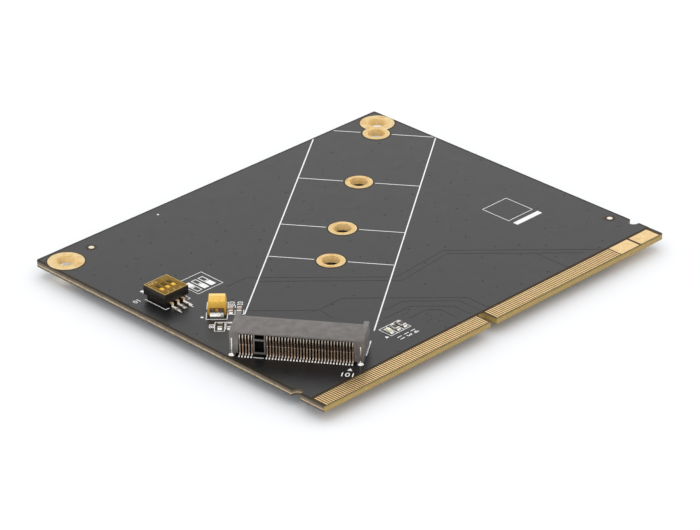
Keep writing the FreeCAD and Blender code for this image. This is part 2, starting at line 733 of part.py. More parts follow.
def end_fillets(length, width, rise):
    """Solder at both ends of a two-ended part."""
    end = length / 2
    fillet = wedge([(end, 0), (end, rise), (end + CHIP_SOLDER_REACH, 0)], width)
    return [fillet, moved(fillet, angle=180)]


def capacitor_solder():
    length = CAPACITOR_LENGTH + 2 * TERMINAL_STRIP_THICKNESS
    return end_fillets(length, TERMINAL_STRIP_WIDTH, 2 * CHIP_SOLDER_REACH)


def chip_body(height=CHIP_HEIGHT):
    skin = CHIP_CAP_THICKNESS
    x, y = CHIP_LENGTH / 2 - skin, CHIP_WIDTH / 2 - skin
    return box(-x, x, -y, y, skin, height - skin)


def chip_caps(height=CHIP_HEIGHT):
    """The two metal end caps, each wrapped over one end of the body."""
    x, y = CHIP_LENGTH / 2, CHIP_WIDTH / 2
    cap = box(x - CHIP_CAP_LENGTH, x, -y, y, 0, height).cut(chip_body(height))
    return [cap, moved(cap, angle=180)]


def resistor_coat():
    """The dark glaze between a resistor's caps."""
    x = CHIP_LENGTH / 2 - CHIP_CAP_LENGTH
    y = CHIP_WIDTH / 2 - CHIP_CAP_THICKNESS
    h = CHIP_HEIGHT - CHIP_CAP_THICKNESS
    return box(-x, x, -y, y, h, h + COAT_THICKNESS)


def led_lens():
    """The cast lens on the diode's base."""
    base = LED_BASE_HEIGHT - CHIP_CAP_THICKNESS
    length = CHIP_LENGTH - 2 * CHIP_CAP_LENGTH - 2 * LED_LENS_CLEARANCE
    width = CHIP_WIDTH - 2 * CHIP_CAP_THICKNESS
    return frustum(length, width, base, base + LED_LENS_HEIGHT, 0, LED_LENS_DRAFT)


def power_group(shapes, along=0.0, across=0.0):
    """Seat shapes in the turned group, at a place counted from the capacitor along its own axes."""
    local = [moved(shape, along, across) for shape in shapes]
    x = left_edge() + CAPACITOR_FROM_SIDE
    return on_board(local, x, contact_edge() + CAPACITOR_FROM_EDGE, POWER_GROUP_ANGLE)


def indicator_group(shapes, index):
    """Seat shapes in the indicator row, which stands across the contact edge."""
    x = socket_datum()[0] + INDICATOR_FROM_SOCKET + index * INDICATOR_PITCH
    return on_board(shapes, x, contact_edge() + INDICATOR_FROM_EDGE, 90)


def chip_capacitors(make):
    return [shape for place in CHIP_CAPACITOR_PLACES for shape in power_group(make(), *place)]


def chip_resistors(make):
    shapes = [shape for place in CHIP_RESISTOR_PLACES for shape in power_group(make(), *place)]
    return shapes + indicator_group(make(), 1) + indicator_group(make(), 2)


def chip_solder():
    """Solder at the ends of every chip and of the diode."""
    def fillets():
        return end_fillets(CHIP_LENGTH, CHIP_WIDTH, CHIP_SOLDER_REACH)
    return chip_capacitors(fillets) + chip_resistors(fillets)


def led_solder():
    return indicator_group(end_fillets(CHIP_LENGTH, CHIP_WIDTH, LED_BASE_HEIGHT), 0)


# ---------------------------------------------------------------------------------------------
# Nodes

def save(node, solids):
    """Write a node's solids to its STEP file."""
    shape = solids[0] if len(solids) == 1 else Part.makeCompound(solids)
    shape.exportStep(os.path.join("parts", node + ".step"))


def save_board():
    save("circuit_board", circuit_board())
    save("edge_contacts_top", edge_contacts(contact_places(), below=False))
    save("edge_contacts_bottom", edge_contacts(contact_places(-ROW_STAGGER), below=True))
    save("power_pads", power_pads())
    save("corner_plating", plating([corner_plating(0)]))
    save("joined_plating", plating([corner_plating(1), standoff_plating(3)]))
    for index in range(3):
        node = "standoff_plating_%d" % MODULE_LENGTHS[index]
        save(node, plating([standoff_plating(index)]))
    save("fiducials", fiducials())


def save_socket():
    def seat(shapes):
        return on_board(shapes, *socket_datum(), module_angle())
    save("socket_housing", seat(socket_housing()))
    save("socket_upper_contacts", seat(row(upper_contact(), upper_row())))
    save("socket_lower_contacts", seat(row(lower_contact(), lower_row())))
    save("socket_weld_tabs", seat(weld_tabs()))
    save("socket_solder", seat(socket_solder()))
    save("weld_tab_solder", seat(tab_solder()))


def save_switch():
    def seat(shapes):
        return on_board(shapes, left_edge() + SWITCH_FROM_SIDE, contact_edge() + SWITCH_FROM_EDGE)
    save("switch_base", seat(switch_base()))
    save("switch_cover", seat(switch_cover()))
    save("switch_film", seat(switch_film()))
    save("switch_front_terminals", seat(front_terminals()))
    save("switch_rear_terminals", seat(rear_terminals()))
    save("switch_solder", seat(switch_solder()))
    for number, x in enumerate(pole_places(), start=1):
        save("switch_lever_%d" % number, seat(switch_lever(x)))
        save("lever_clip_%d" % number, seat(lever_clip(x)))


def save_small_parts():
    save("capacitor_body", power_group(capacitor_body()))
    save("capacitor_terminals", power_group(capacitor_terminals()))
    save("capacitor_solder", power_group(capacitor_solder()))
    save("chip_capacitor_bodies", chip_capacitors(lambda: [chip_body()]))
    save("chip_capacitor_caps", chip_capacitors(chip_caps))
    save("chip_resistor_bodies", chip_resistors(lambda: [chip_body()]))
    save("chip_resistor_caps", chip_resistors(chip_caps))
    save("chip_resistor_coats", chip_resistors(lambda: [resistor_coat()]))
    save("chip_solder", chip_solder())
    save("led_base", indicator_group([chip_body(LED_BASE_HEIGHT)], 0))
    save("led_caps", indicator_group(chip_caps(LED_BASE_HEIGHT), 0))
    save("led_lens", indicator_group([led_lens()], 0))
    save("led_solder", led_solder())


def main():
    os.makedirs("parts", exist_ok=True)
    save_board()
    save_socket()
    save_switch()
    save_small_parts()


main()
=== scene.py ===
"""Looks of the adapter card: finishes, printed marks, copper relief, parts on the board and the studio.

Sizes are in millimetres on the dataclasses and are turned to metres where a mesh is made.
"""
import logging
import math
from dataclasses import dataclass
from enum import Enum, IntEnum
from functools import cache
from typing import Callable, Sequence

import bmesh
import bpy
from mathutils import Matrix, Vector


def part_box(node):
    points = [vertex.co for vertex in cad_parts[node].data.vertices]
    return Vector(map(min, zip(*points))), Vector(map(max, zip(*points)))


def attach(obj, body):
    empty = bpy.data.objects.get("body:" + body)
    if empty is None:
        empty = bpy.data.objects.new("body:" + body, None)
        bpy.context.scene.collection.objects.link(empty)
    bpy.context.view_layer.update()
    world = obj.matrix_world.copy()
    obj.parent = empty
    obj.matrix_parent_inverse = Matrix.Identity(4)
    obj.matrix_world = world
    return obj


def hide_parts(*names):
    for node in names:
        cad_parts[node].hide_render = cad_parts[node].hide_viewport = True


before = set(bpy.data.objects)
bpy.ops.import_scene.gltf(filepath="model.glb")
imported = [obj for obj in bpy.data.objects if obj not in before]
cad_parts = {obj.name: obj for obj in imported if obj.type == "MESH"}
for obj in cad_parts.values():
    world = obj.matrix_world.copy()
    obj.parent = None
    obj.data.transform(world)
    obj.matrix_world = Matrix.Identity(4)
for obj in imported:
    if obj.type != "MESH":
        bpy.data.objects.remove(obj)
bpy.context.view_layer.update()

MM = 0.001  # a millimetre in metres
MERGE = 1e-7  # corners closer than this are one, in metres
CARD = "card"  # the body that holds all but the levers
VIA_TOP_SHARE = 0.6  # top of a via's dome, as a share of its foot
LETTER_SCALE = 1.35  # a font's size for each millimetre of a digit's height
NOISE_RANGE = (0.3, 0.7)  # where smooth noise has most of its values
SHEEN_GRAIN = 2.3  # patches of sheen, as a multiple of the colour's patches
Colour = tuple[float, float, float]
Point2 = tuple[float, float]
Size3 = tuple[float, float, float]
Routes = tuple[tuple[Point2, ...], ...]

log = logging.getLogger("adapter_card")


class Layer(Enum):
    """Heights of the low relief above the board's face, in millimetres."""

    RELIEF = 0.022
    VIA = 0.012


class BoardFace(IntEnum):
    """Slots of the board's finishes."""

    MASK = 0
    BARE = 1
    CUT = 2
    CONTACT_CUT = 3
    BARREL = 4


# ---------------------------------------------------------------------------------------------
# Shader building

class Shader:
    """One material under construction: its nodes, its body's colour and its coordinates in millimetres."""

    def __init__(self, name: str) -> None:
        """Start a material.

        Args:
            name: the material's name.
        """
        self.material = bpy.data.materials.new(name)
        self.material.use_nodes = True
        self.tree = self.material.node_tree
        self.surface = self.tree.nodes["Principled BSDF"]
        coordinates = self.add("ShaderNodeTexCoord")
        self.millimetres = self.stretched(coordinates.outputs["Object"], (1 / MM, 1 / MM, 1 / MM))
        self.body: bpy.types.NodeSocket | None = None

    def add(self, kind: str, **settings: object) -> bpy.types.Node:
        """Add a node.

        Args:
            kind: the node's type.
            settings: properties set on it.

        Returns:
            The new node.
        """
        node = self.tree.nodes.new(kind)
        for key, value in settings.items():
            setattr(node, key, value)
        return node

    def join(self, start: bpy.types.NodeSocket, end: bpy.types.NodeSocket) -> None:
        """Link an output to an input."""
        self.tree.links.new(start, end)

    def stretched(self, vector: bpy.types.NodeSocket, scale: Size3, turn: float = 0.0) -> bpy.types.NodeSocket:
        """Scale and turn coordinates.

        Args:
            vector: the coordinates.
            scale: factor along each axis.
            turn: rotation about Z, in radians.

        Returns:
            The mapped coordinates.
        """
        mapping = self.add("ShaderNodeMapping")
        mapping.inputs["Scale"].default_value = scale
        mapping.inputs["Rotation"].default_value = (0.0, 0.0, turn)
        self.join(vector, mapping.inputs["Vector"])
        return mapping.outputs["Vector"]

    def noise(self, grain: float, detail: float = 2.0, stretch: Size3 = (1.0, 1.0, 1.0),
              turn: float = 0.0) -> bpy.types.NodeSocket:
        """Smooth random variation.

        Args:
            grain: typical size of a patch, in millimetres.
            detail: number of finer octaves.
            stretch: factor along each axis, above 1 for finer.
            turn: rotation about Z before stretching, in radians.

        Returns:
            A factor from 0 to 1.
        """
        node = self.add("ShaderNodeTexNoise")
        node.inputs["Scale"].default_value = 1.0 / grain
        node.inputs["Detail"].default_value = detail
        self.join(self.stretched(self.millimetres, stretch, turn), node.inputs["Vector"])
        return node.outputs["Fac"]

    def axis(self, name: str, turn: float = 0.0) -> bpy.types.NodeSocket:
        """One object coordinate in millimetres, after a turn about Z."""
        split = self.add("ShaderNodeSeparateXYZ")
        self.join(self.stretched(self.millimetres, (1.0, 1.0, 1.0), turn), split.inputs["Vector"])
        return split.outputs[name]

    def math(self, operation: str, first: bpy.types.NodeSocket, second: bpy.types.NodeSocket | float
             ) -> bpy.types.NodeSocket:
        """Combine two values.

        Args:
            operation: the kind of sum.
            first: a value.
            second: a value or a number.

        Returns:
            The result.
        """
        node = self.add("ShaderNodeMath", operation=operation)
        self.join(first, node.inputs[0])
        if isinstance(second, (int, float)):
            node.inputs[1].default_value = second
        else:
            self.join(second, node.inputs[1])
        return node.outputs[0]

    def stripes(self, name: str, middle: float, pitch: float) -> bpy.types.NodeSocket:
        """Distance from the middle of the nearest of a row of equal stripes.

        Args:
            name: the axis the row runs along.
            middle: where one of them has its middle, in millimetres.
            pitch: from one middle to the next, in millimetres.

        Returns:
            The distance in millimetres.
        """
        value = self.axis(name)
        for operation, amount in (("ADD", pitch / 2 - middle), ("FLOORED_MODULO", pitch), ("SUBTRACT", pitch / 2),
                                  ("ABSOLUTE", 0.0)):
            value = self.math(operation, value, amount)
        return value

    def span(self, factor: bpy.types.NodeSocket, source: Point2, target: Point2) -> bpy.types.NodeSocket:
        """Map one range of a value onto another, clamped.

        Args:
            factor: the value.
            source: its low and high.
            target: what they become.

        Returns:
            The mapped value.
        """
        node = self.add("ShaderNodeMapRange")
        for key, value in zip(("From Min", "From Max", "To Min", "To Max"), source + target):
            node.inputs[key].default_value = value
        self.join(factor, node.inputs["Value"])
        return node.outputs["Result"]

    def step(self, value: bpy.types.NodeSocket, limit: float, side: int, soft: float) -> bpy.types.NodeSocket:
        """1 on one side of a limit, 0 on the other.

        Args:
            value: what is compared.
            limit: where it changes.
            side: 1 to give 1 above the limit, -1 to give it below.
            soft: half the width of the change.

        Returns:
            A factor from 0 to 1.
        """
        return self.span(value, (limit - soft, limit + soft), (0.0, 1.0) if side > 0 else (1.0, 0.0))

    def ramp(self, factor: bpy.types.NodeSocket, stops: Sequence[tuple[float, Colour]]) -> bpy.types.NodeSocket:
        """Colours along a factor.

        Args:
            factor: a value from 0 to 1.
            stops: (position, colour) pairs in order.

        Returns:
            The colour.
        """
        node = self.add("ShaderNodeValToRGB")
        elements = node.color_ramp.elements
        while len(elements) < len(stops):
            elements.new(0.5)
        for element, (position, colour) in zip(elements, stops):
            element.position = position
            element.color = (*colour, 1.0)
        self.join(factor, node.inputs["Fac"])
        return node.outputs["Color"]

    def mix(self, factor: bpy.types.NodeSocket, first: bpy.types.NodeSocket | Colour,
            second: bpy.types.NodeSocket | Colour) -> bpy.types.NodeSocket:
        """Blend two colours.

        Args:
            factor: 0 gives the first, 1 the second.
            first: a colour or a colour socket.
            second: a colour or a colour socket.

        Returns:
            The blended colour.
        """
        node = self.add("ShaderNodeMix", data_type="RGBA")
        self.join(factor, node.inputs[0])
        for socket, colour in ((node.inputs[6], first), (node.inputs[7], second)):
            if isinstance(colour, tuple):
                socket.default_value = (*colour, 1.0)
            else:
                self.join(colour, socket)
        return node.outputs[2]

    def bump(self, height: bpy.types.NodeSocket, depth: float,
             below: bpy.types.NodeSocket | None = None) -> bpy.types.NodeSocket:
        """Fine relief.

        Args:
            height: a value from 0 to 1.
            depth: relief in millimetres.
            below: the normal of a coarser relief, or None.

        Returns:
            The bumped normal, which is also set on the surface.
        """
        node = self.add("ShaderNodeBump")
        node.inputs["Distance"].default_value = depth * MM
        self.join(height, node.inputs["Height"])
        if below is not None:
            self.join(below, node.inputs["Normal"])
        self.join(node.outputs["Normal"], self.surface.inputs["Normal"])
        return node.outputs["Normal"]

    def colour(self, value: bpy.types.NodeSocket) -> None:
        """Set the surface's colour."""
        self.join(value, self.surface.inputs["Base Color"])

    def roughness(self, value: bpy.types.NodeSocket) -> None:
        """Set the surface's roughness."""
        self.join(value, self.surface.inputs["Roughness"])

    def uniform(self, **values: float) -> None:
        """Set even values straight on the surface's sockets, with underscores for spaces."""
        for key, value in values.items():
            self.surface.inputs[key.replace("_", " ")].default_value = value


# ---------------------------------------------------------------------------------------------
# Finishes

@dataclass(frozen=True)
class Finish:
    """A finish with an uneven colour, an uneven sheen and a fine grain."""

    name: str
    dark: Colour
    light: Colour
    grain: float = 0.5
    rough: Point2 = (0.35, 0.5)
    relief: float = 0.004
    relief_grain: float = 0.08
    metal: float = 0.0
    specular: float = 0.5

    def shader(self) -> Shader:
        """Lay down the common part of the finish.

        Returns:
            The shader, ready for more detail.
        """
        shader = Shader(self.name)
        shader.body = shader.ramp(shader.noise(self.grain, 3.0), tuple(zip(NOISE_RANGE, (self.dark, self.light))))
        shader.colour(shader.body)
        shader.roughness(shader.span(shader.noise(self.grain * SHEEN_GRAIN), NOISE_RANGE, self.rough))
        shader.bump(shader.noise(self.relief_grain, 2.0), self.relief)
        shader.uniform(Metallic=self.metal, Specular_IOR_Level=self.specular)
        return shader

    def material(self) -> bpy.types.Material:
        """The finished material."""
        return self.shader().material


@dataclass(frozen=True)
class MaskFinish(Finish):
    """Solder mask over glass cloth: a faint weave, slow waves, and bare laminate where the mask stops short."""

    weave: float = 0.42
    weave_depth: float = 0.0005
    low: Point2 = (-1.0, -1.0)
    high: Point2 = (1.0, 1.0)
    margin: float = 0.38
    contact_band: float = 3.55
    soft: float = 0.06
    bare: Colour = (0.033, 0.021, 0.011)
    gloss: Point2 = (0.44, 0.05)
    band_scale: float = 0.314
    band_waver: float = 0.6
    wave_grain: float = 6.0
    wave_depth: float = 0.02

    def material(self) -> bpy.types.Material:
        """The mask, with the cloth showing through as relief."""
        shader = self.shader()
        bared = self.bared(shader)
        shader.colour(shader.mix(bared, shader.body, self.bare))
        shader.join(shader.span(bared, (0.0, 1.0), self.gloss), shader.surface.inputs["Specular IOR Level"])
        cloth = shader.math("MULTIPLY", self.thread(shader, 0.0), self.thread(shader, math.pi / 2))
        woven = shader.bump(cloth, self.weave_depth)
        waves = shader.bump(shader.noise(self.wave_grain, 1.0), self.wave_depth, woven)
        shader.bump(shader.noise(self.relief_grain, 2.0), self.relief, waves)
        return shader.material

    def bared(self, shader: Shader) -> bpy.types.NodeSocket:
        """How bare the laminate is: 1 along the outline and between the edge contacts."""
        edges = (("X", self.low[0] + self.margin, -1), ("X", self.high[0] - self.margin, 1),
                 ("Y", self.low[1] + self.contact_band, -1), ("Y", self.high[1] - self.margin, 1))
        total = None
        for name, limit, side in edges:
            near = shader.step(shader.axis(name), limit, side, self.soft)
            total = near if total is None else shader.math("MAXIMUM", total, near)
        return total

    def thread(self, shader: Shader, turn: float) -> bpy.types.NodeSocket:
        """One set of threads of the glass cloth, turned about Z."""
        wave = shader.add("ShaderNodeTexWave", wave_type="BANDS", bands_direction="X")
        wave.inputs["Scale"].default_value = self.band_scale / self.weave
        wave.inputs["Distortion"].default_value = self.band_waver
        shader.join(shader.stretched(shader.millimetres, (1.0, 1.0, 1.0), turn), wave.inputs["Vector"])
        return wave.outputs["Fac"]


@dataclass(frozen=True)
class LaminateFinish(Finish):
    """The cut edge of the laminate: a bright band of painted highlight about a third of the way up, painted shade above
    and below it, fibre streaks, and brown marks from the router.
    """

    scorch: Colour = (0.07, 0.05, 0.03)
    scorch_grain: float = 0.55
    scorch_stretch: Size3 = (1.0, 1.0, 2.2)
    scorch_share: float = 0.8
    scorched: Point2 = (0.56, 0.72)
    layer: float = 0.11
    layer_stretch: Size3 = (0.12, 0.12, 1.0)
    layer_share: float = 0.55
    layer_depth: float = 0.02
    thickness: float = 1.2
    wander: float = 0.14
    wander_grain: float = 2.5
    wander_stretch: Size3 = (1.0, 1.0, 0.2)
    # brightness by height: on the cut edge a painted highlight band with painted shade above and below it
    painted_light_stops: tuple[tuple[float, float], ...] = ((0.0, 0.10), (0.25, 0.22), (0.33, 1.0), (0.41, 1.0), (0.5, 0.34),
                                              (0.74, 0.22), (0.86, 0.09), (1.0, 0.04))

    def material(self) -> bpy.types.Material:
        """The cut edge, in layers along Z, with painted highlight and shade by height."""
        shader = self.shader()
        layers = shader.noise(self.layer, 2.0, self.layer_stretch)
        wander = shader.math("MULTIPLY", shader.noise(self.wander_grain, 2.0, self.wander_stretch), self.wander)
        depth = shader.span(shader.axis("Z"), (0.0, self.thickness), (-self.wander / 2, 1.0 - self.wander / 2))
        # painted light: the stops scale the colour by height
        stops = tuple((place, tuple(share * part for part in self.light)) for place, share in self.painted_light_stops)
        body = shader.ramp(shader.math("ADD", wander, depth), stops)
        streaks = shader.mix(shader.span(layers, (0.35, 0.7), (0.0, self.layer_share)), body, self.dark)
        burnt = shader.noise(self.scorch_grain, 4.0, self.scorch_stretch)
        marks = shader.span(burnt, self.scorched, (0.0, self.scorch_share))
        shader.colour(shader.mix(marks, streaks, self.scorch))
        shader.bump(layers, self.layer_depth)
        return shader.material


@dataclass(frozen=True)
class GoldFinish(Finish):
    """Gold flash over nickel: satin, with fine polishing lines and warmer patches."""

    warm: Colour = (0.62, 0.33, 0.09)
    warm_share: Point2 = (0.55, 0.8)
    warm_grain: float = 1.7
    line_grain: float = 0.05
    line_stretch: Size3 = (1.0, 0.05, 1.0)
    line_turn: float = 0.7
    line_depth: float = 0.0012

    def warmed(self, shader: Shader) -> bpy.types.NodeSocket:
        """The plating's colour, with its warmer patches."""
        warm = shader.span(shader.noise(self.warm_grain, 4.0), self.warm_share, (0.0, 1.0))
        return shader.mix(warm, shader.body, self.warm)

    def material(self) -> bpy.types.Material:
        """The plating with its warmer patches and lines."""
        shader = self.shader()
        shader.colour(self.warmed(shader))
        lines = shader.bump(shader.noise(self.line_grain, 1.0, self.line_stretch, self.line_turn), self.line_depth)
        shader.bump(shader.noise(self.relief_grain, 2.0), self.relief, lines)
        return shader.material


@dataclass(frozen=True)
class ContactFinish(GoldFinish):
    """Gold contacts in a row, each with painted shade towards its long sides."""

    first: float = 0.0
    pitch: float = 0.5
    core: float = 0.09
    side: float = 0.17
    # colour of the painted shade at each contact's long sides
    side_shade_colour: Colour = (0.20, 0.10, 0.03)

    def material(self) -> bpy.types.Material:
        """The contacts, with painted shade on their sides."""
        shader = self.shader()
        # painted shade: darker from each contact's middle out to its long sides
        away = shader.span(shader.stripes("X", self.first, self.pitch), (self.core, self.side), (0.0, 1.0))
        shader.colour(shader.mix(away, self.warmed(shader), self.side_shade_colour))
        return shader.material


@dataclass(frozen=True)
class LegFinish(Finish):
    """Contact metal that turns from bronze to bright tin near the board, with painted shade in bands along its height
    and a painted highlight above a set height.
    """

    tin: Colour = (0.88, 0.84, 0.79)
    tin_from: float = 1.62
    tin_below: float = 1.42
    # pale colour of the painted highlight above a set height
    tip_highlight: Colour = (0.80, 0.70, 0.58)
    highlight_from: float = 6.0
    highlight_above: float = 6.1
    heights: Point2 = (1.2, 5.2)
    # shares of the colour by height, darker where shade is painted
    painted_shade_shares: tuple[tuple[float, float], ...] = ((0.0, 1.0), (1.0, 1.0))

    def material(self) -> bpy.types.Material:
        """Bronze above with painted shade by height and a painted highlight near the top, tin on the tails."""
        shader = self.shader()
        # painted shade: the shares darken the colour in bands along the height
        height = shader.span(shader.axis("Z"), self.heights, (0.0, 1.0))
        dull, bright = (shader.ramp(height, tuple((place, tuple(min(1.0, share * part) for part in colour))
                                                  for place, share in self.painted_shade_shares))
                        for colour in (self.dark, self.light))
        body = shader.mix(shader.span(shader.noise(self.grain, 3.0), NOISE_RANGE, (0.0, 1.0)), dull, bright)
        tinned = shader.span(shader.axis("Z"), (self.tin_below, self.tin_from), (1.0, 0.0))
        # painted highlight: the tips above a set height turn pale
        highlit_tips = shader.span(shader.axis("Z"), (self.highlight_from, self.highlight_above), (0.0, 1.0))
        shader.colour(shader.mix(highlit_tips, shader.mix(tinned, body, self.tin), self.tip_highlight))
        return shader.material


@dataclass(frozen=True)
class HousingFinish(Finish):
    """Moulded plastic with painted shade on the narrow ribs between the contacts at its back, which sit in shadow."""

    turn: float = 0.0
    datum_u: float = 0.0
    datum_v: float = 0.0
    rear: float = -3.9
    row: Point2 = (3.17, 5.08)
    reach: float = 9.42
    key: float = 6.0
    key_half: float = 1.02
    # colour of the painted shade on the ribs
    shade: Colour = (0.006, 0.005, 0.0045)
    gloss: Point2 = (0.5, 0.05)
    soft: float = 0.02

    def material(self) -> bpy.types.Material:
        """The plastic, with painted shade and less sheen on its ribs."""
        shader = self.shader()
        u, v, z = (shader.axis(name, turn) for name, turn in (("X", -self.turn), ("Y", -self.turn), ("Z", 0.0)))
        behind = shader.step(u, self.datum_u + self.rear, -1, self.soft)
        comb = self.within(shader, v, self.datum_v - self.reach, self.datum_v + self.reach)
        key = self.within(shader, v, self.datum_v + self.key - self.key_half, self.datum_v + self.key + self.key_half)
        ribs = shader.math("SUBTRACT", comb, key)
        # painted shade: the ribs behind the contacts are darkened and lose their sheen, where shadow falls
        dark = shader.math("MULTIPLY", shader.math("MULTIPLY", behind, ribs), self.within(shader, z, *self.row))
        shader.colour(shader.mix(dark, shader.body, self.shade))
        shader.join(shader.span(dark, (0.0, 1.0), self.gloss), shader.surface.inputs["Specular IOR Level"])
        return shader.material

    def within(self, shader: Shader, value: bpy.types.NodeSocket, low: float, high: float) -> bpy.types.NodeSocket:
        """1 between two limits, 0 outside them."""
        return shader.math("MULTIPLY", shader.step(value, low, 1, self.soft), shader.step(value, high, -1, self.soft))


@dataclass(frozen=True)
class ResinFinish(Finish):
    """Moulded resin with a paler band across one end, along a diagonal of the board, and painted shade towards its
    foot.
    """

    band: Colour = (0.93, 0.62, 0.16)
    band_from: float = 0.0
    band_to: float = 0.1
    band_turn: float = -math.pi / 4
    # colour of the painted shade towards the board
    foot: Colour = (0.46, 0.22, 0.02)
    foot_shade_heights: Point2 = (1.4, 3.5)
    foot_shade_share: float = 0.75

    def material(self) -> bpy.types.Material:
        """The resin, its band and the painted shade low on its sides."""
        shader = self.shader()
        # painted shade: the resin darkens towards the board
        shade = shader.span(shader.axis("Z"), self.foot_shade_heights, (self.foot_shade_share, 0.0))
        body = shader.mix(shade, shader.body, self.foot)
        across = shader.axis("X", self.band_turn)
        shader.colour(shader.mix(shader.span(across, (self.band_from, self.band_to), (0.0, 1.0)), body, self.band))
        return shader.material


@dataclass(frozen=True)
class FilmFinish(Finish):
    """Clear tinted film with adhesive behind it, which tints what shows through."""

    tint_dark: Colour = (0.97, 0.87, 0.58)
    tint_light: Colour = (1.0, 0.94, 0.70)
    tint_grain: float = 0.9
    cover: float = 0.08

    def material(self) -> bpy.types.Material:
        """The film, mostly see-through."""
        shader = self.shader()
        through = shader.add("ShaderNodeBsdfTransparent")
        tint = shader.ramp(shader.noise(self.tint_grain), tuple(zip(NOISE_RANGE, (self.tint_dark, self.tint_light))))
        shader.join(tint, through.inputs["Color"])
        both = shader.add("ShaderNodeMixShader")
        both.inputs["Fac"].default_value = self.cover
        shader.join(through.outputs[0], both.inputs[1])
        shader.join(shader.surface.outputs[0], both.inputs[2])
        shader.join(both.outputs[0], shader.tree.nodes["Material Output"].inputs["Surface"])
        return shader.material


@dataclass(frozen=True)
class InkFinish(Finish):
    """Screen-printed ink, thinner where the screen's mesh shows."""

    thin: Colour = (0.42, 0.42, 0.42)
    mesh_grain: float = 0.16
    worn: Point2 = (0.66, 0.8)

    def material(self) -> bpy.types.Material:
        """The ink with its thin spots."""
        shader = self.shader()
        worn = shader.span(shader.noise(self.mesh_grain, 3.0), self.worn, (0.0, 1.0))
        shader.colour(shader.mix(worn, shader.body, self.thin))
        return shader.material


@dataclass(frozen=True)
class Finishes:
    """Every finish on the card, made once."""

    mask: bpy.types.Material
    tent: bpy.types.Material
    laminate: bpy.types.Material
    contact_laminate: bpy.types.Material
    bare: bpy.types.Material
    gold: bpy.types.Material
    contact: bpy.types.Material
    contact_below: bpy.types.Material
    pale: bpy.types.Material
    ring: bpy.types.Material
    inner: bpy.types.Material
    # gold of the hole walls, with painted light
    barrel_lit: bpy.types.Material
    legs: bpy.types.Material
    pins: bpy.types.Material
    tin: bpy.types.Material
    solder: bpy.types.Material
    housing: bpy.types.Material
    # the capacitor's terminals, with painted shade
    leads_shaded: bpy.types.Material
    # faces inside the socket, painted as shade
    cavity_shade: bpy.types.Material
    switch: bpy.types.Material
    adhesive: bpy.types.Material
    film: bpy.types.Material
    lever: bpy.types.Material
    resin: bpy.types.Material
    tan: bpy.types.Material
    white: bpy.types.Material
    glaze: bpy.types.Material
    lens: bpy.types.Material
    ink: bpy.types.Material
    faint: bpy.types.Material


def contact_finish(node: str, width: float = 0.35) -> ContactFinish:
    """The finish of one row of edge contacts.

    Args:
        node: the row's node.
        width: a contact's width in millimetres.

    Returns:
        The finish, in step with the row.
    """
    return ContactFinish(node.replace("edge", "gold"), (0.80, 0.55, 0.25), (0.94, 0.71, 0.38), 0.5, (0.30, 0.42),
                         0.0008, 0.05, 1.0, warm_share=(0.66, 0.95), first=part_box(node)[0].x / MM + width / 2)


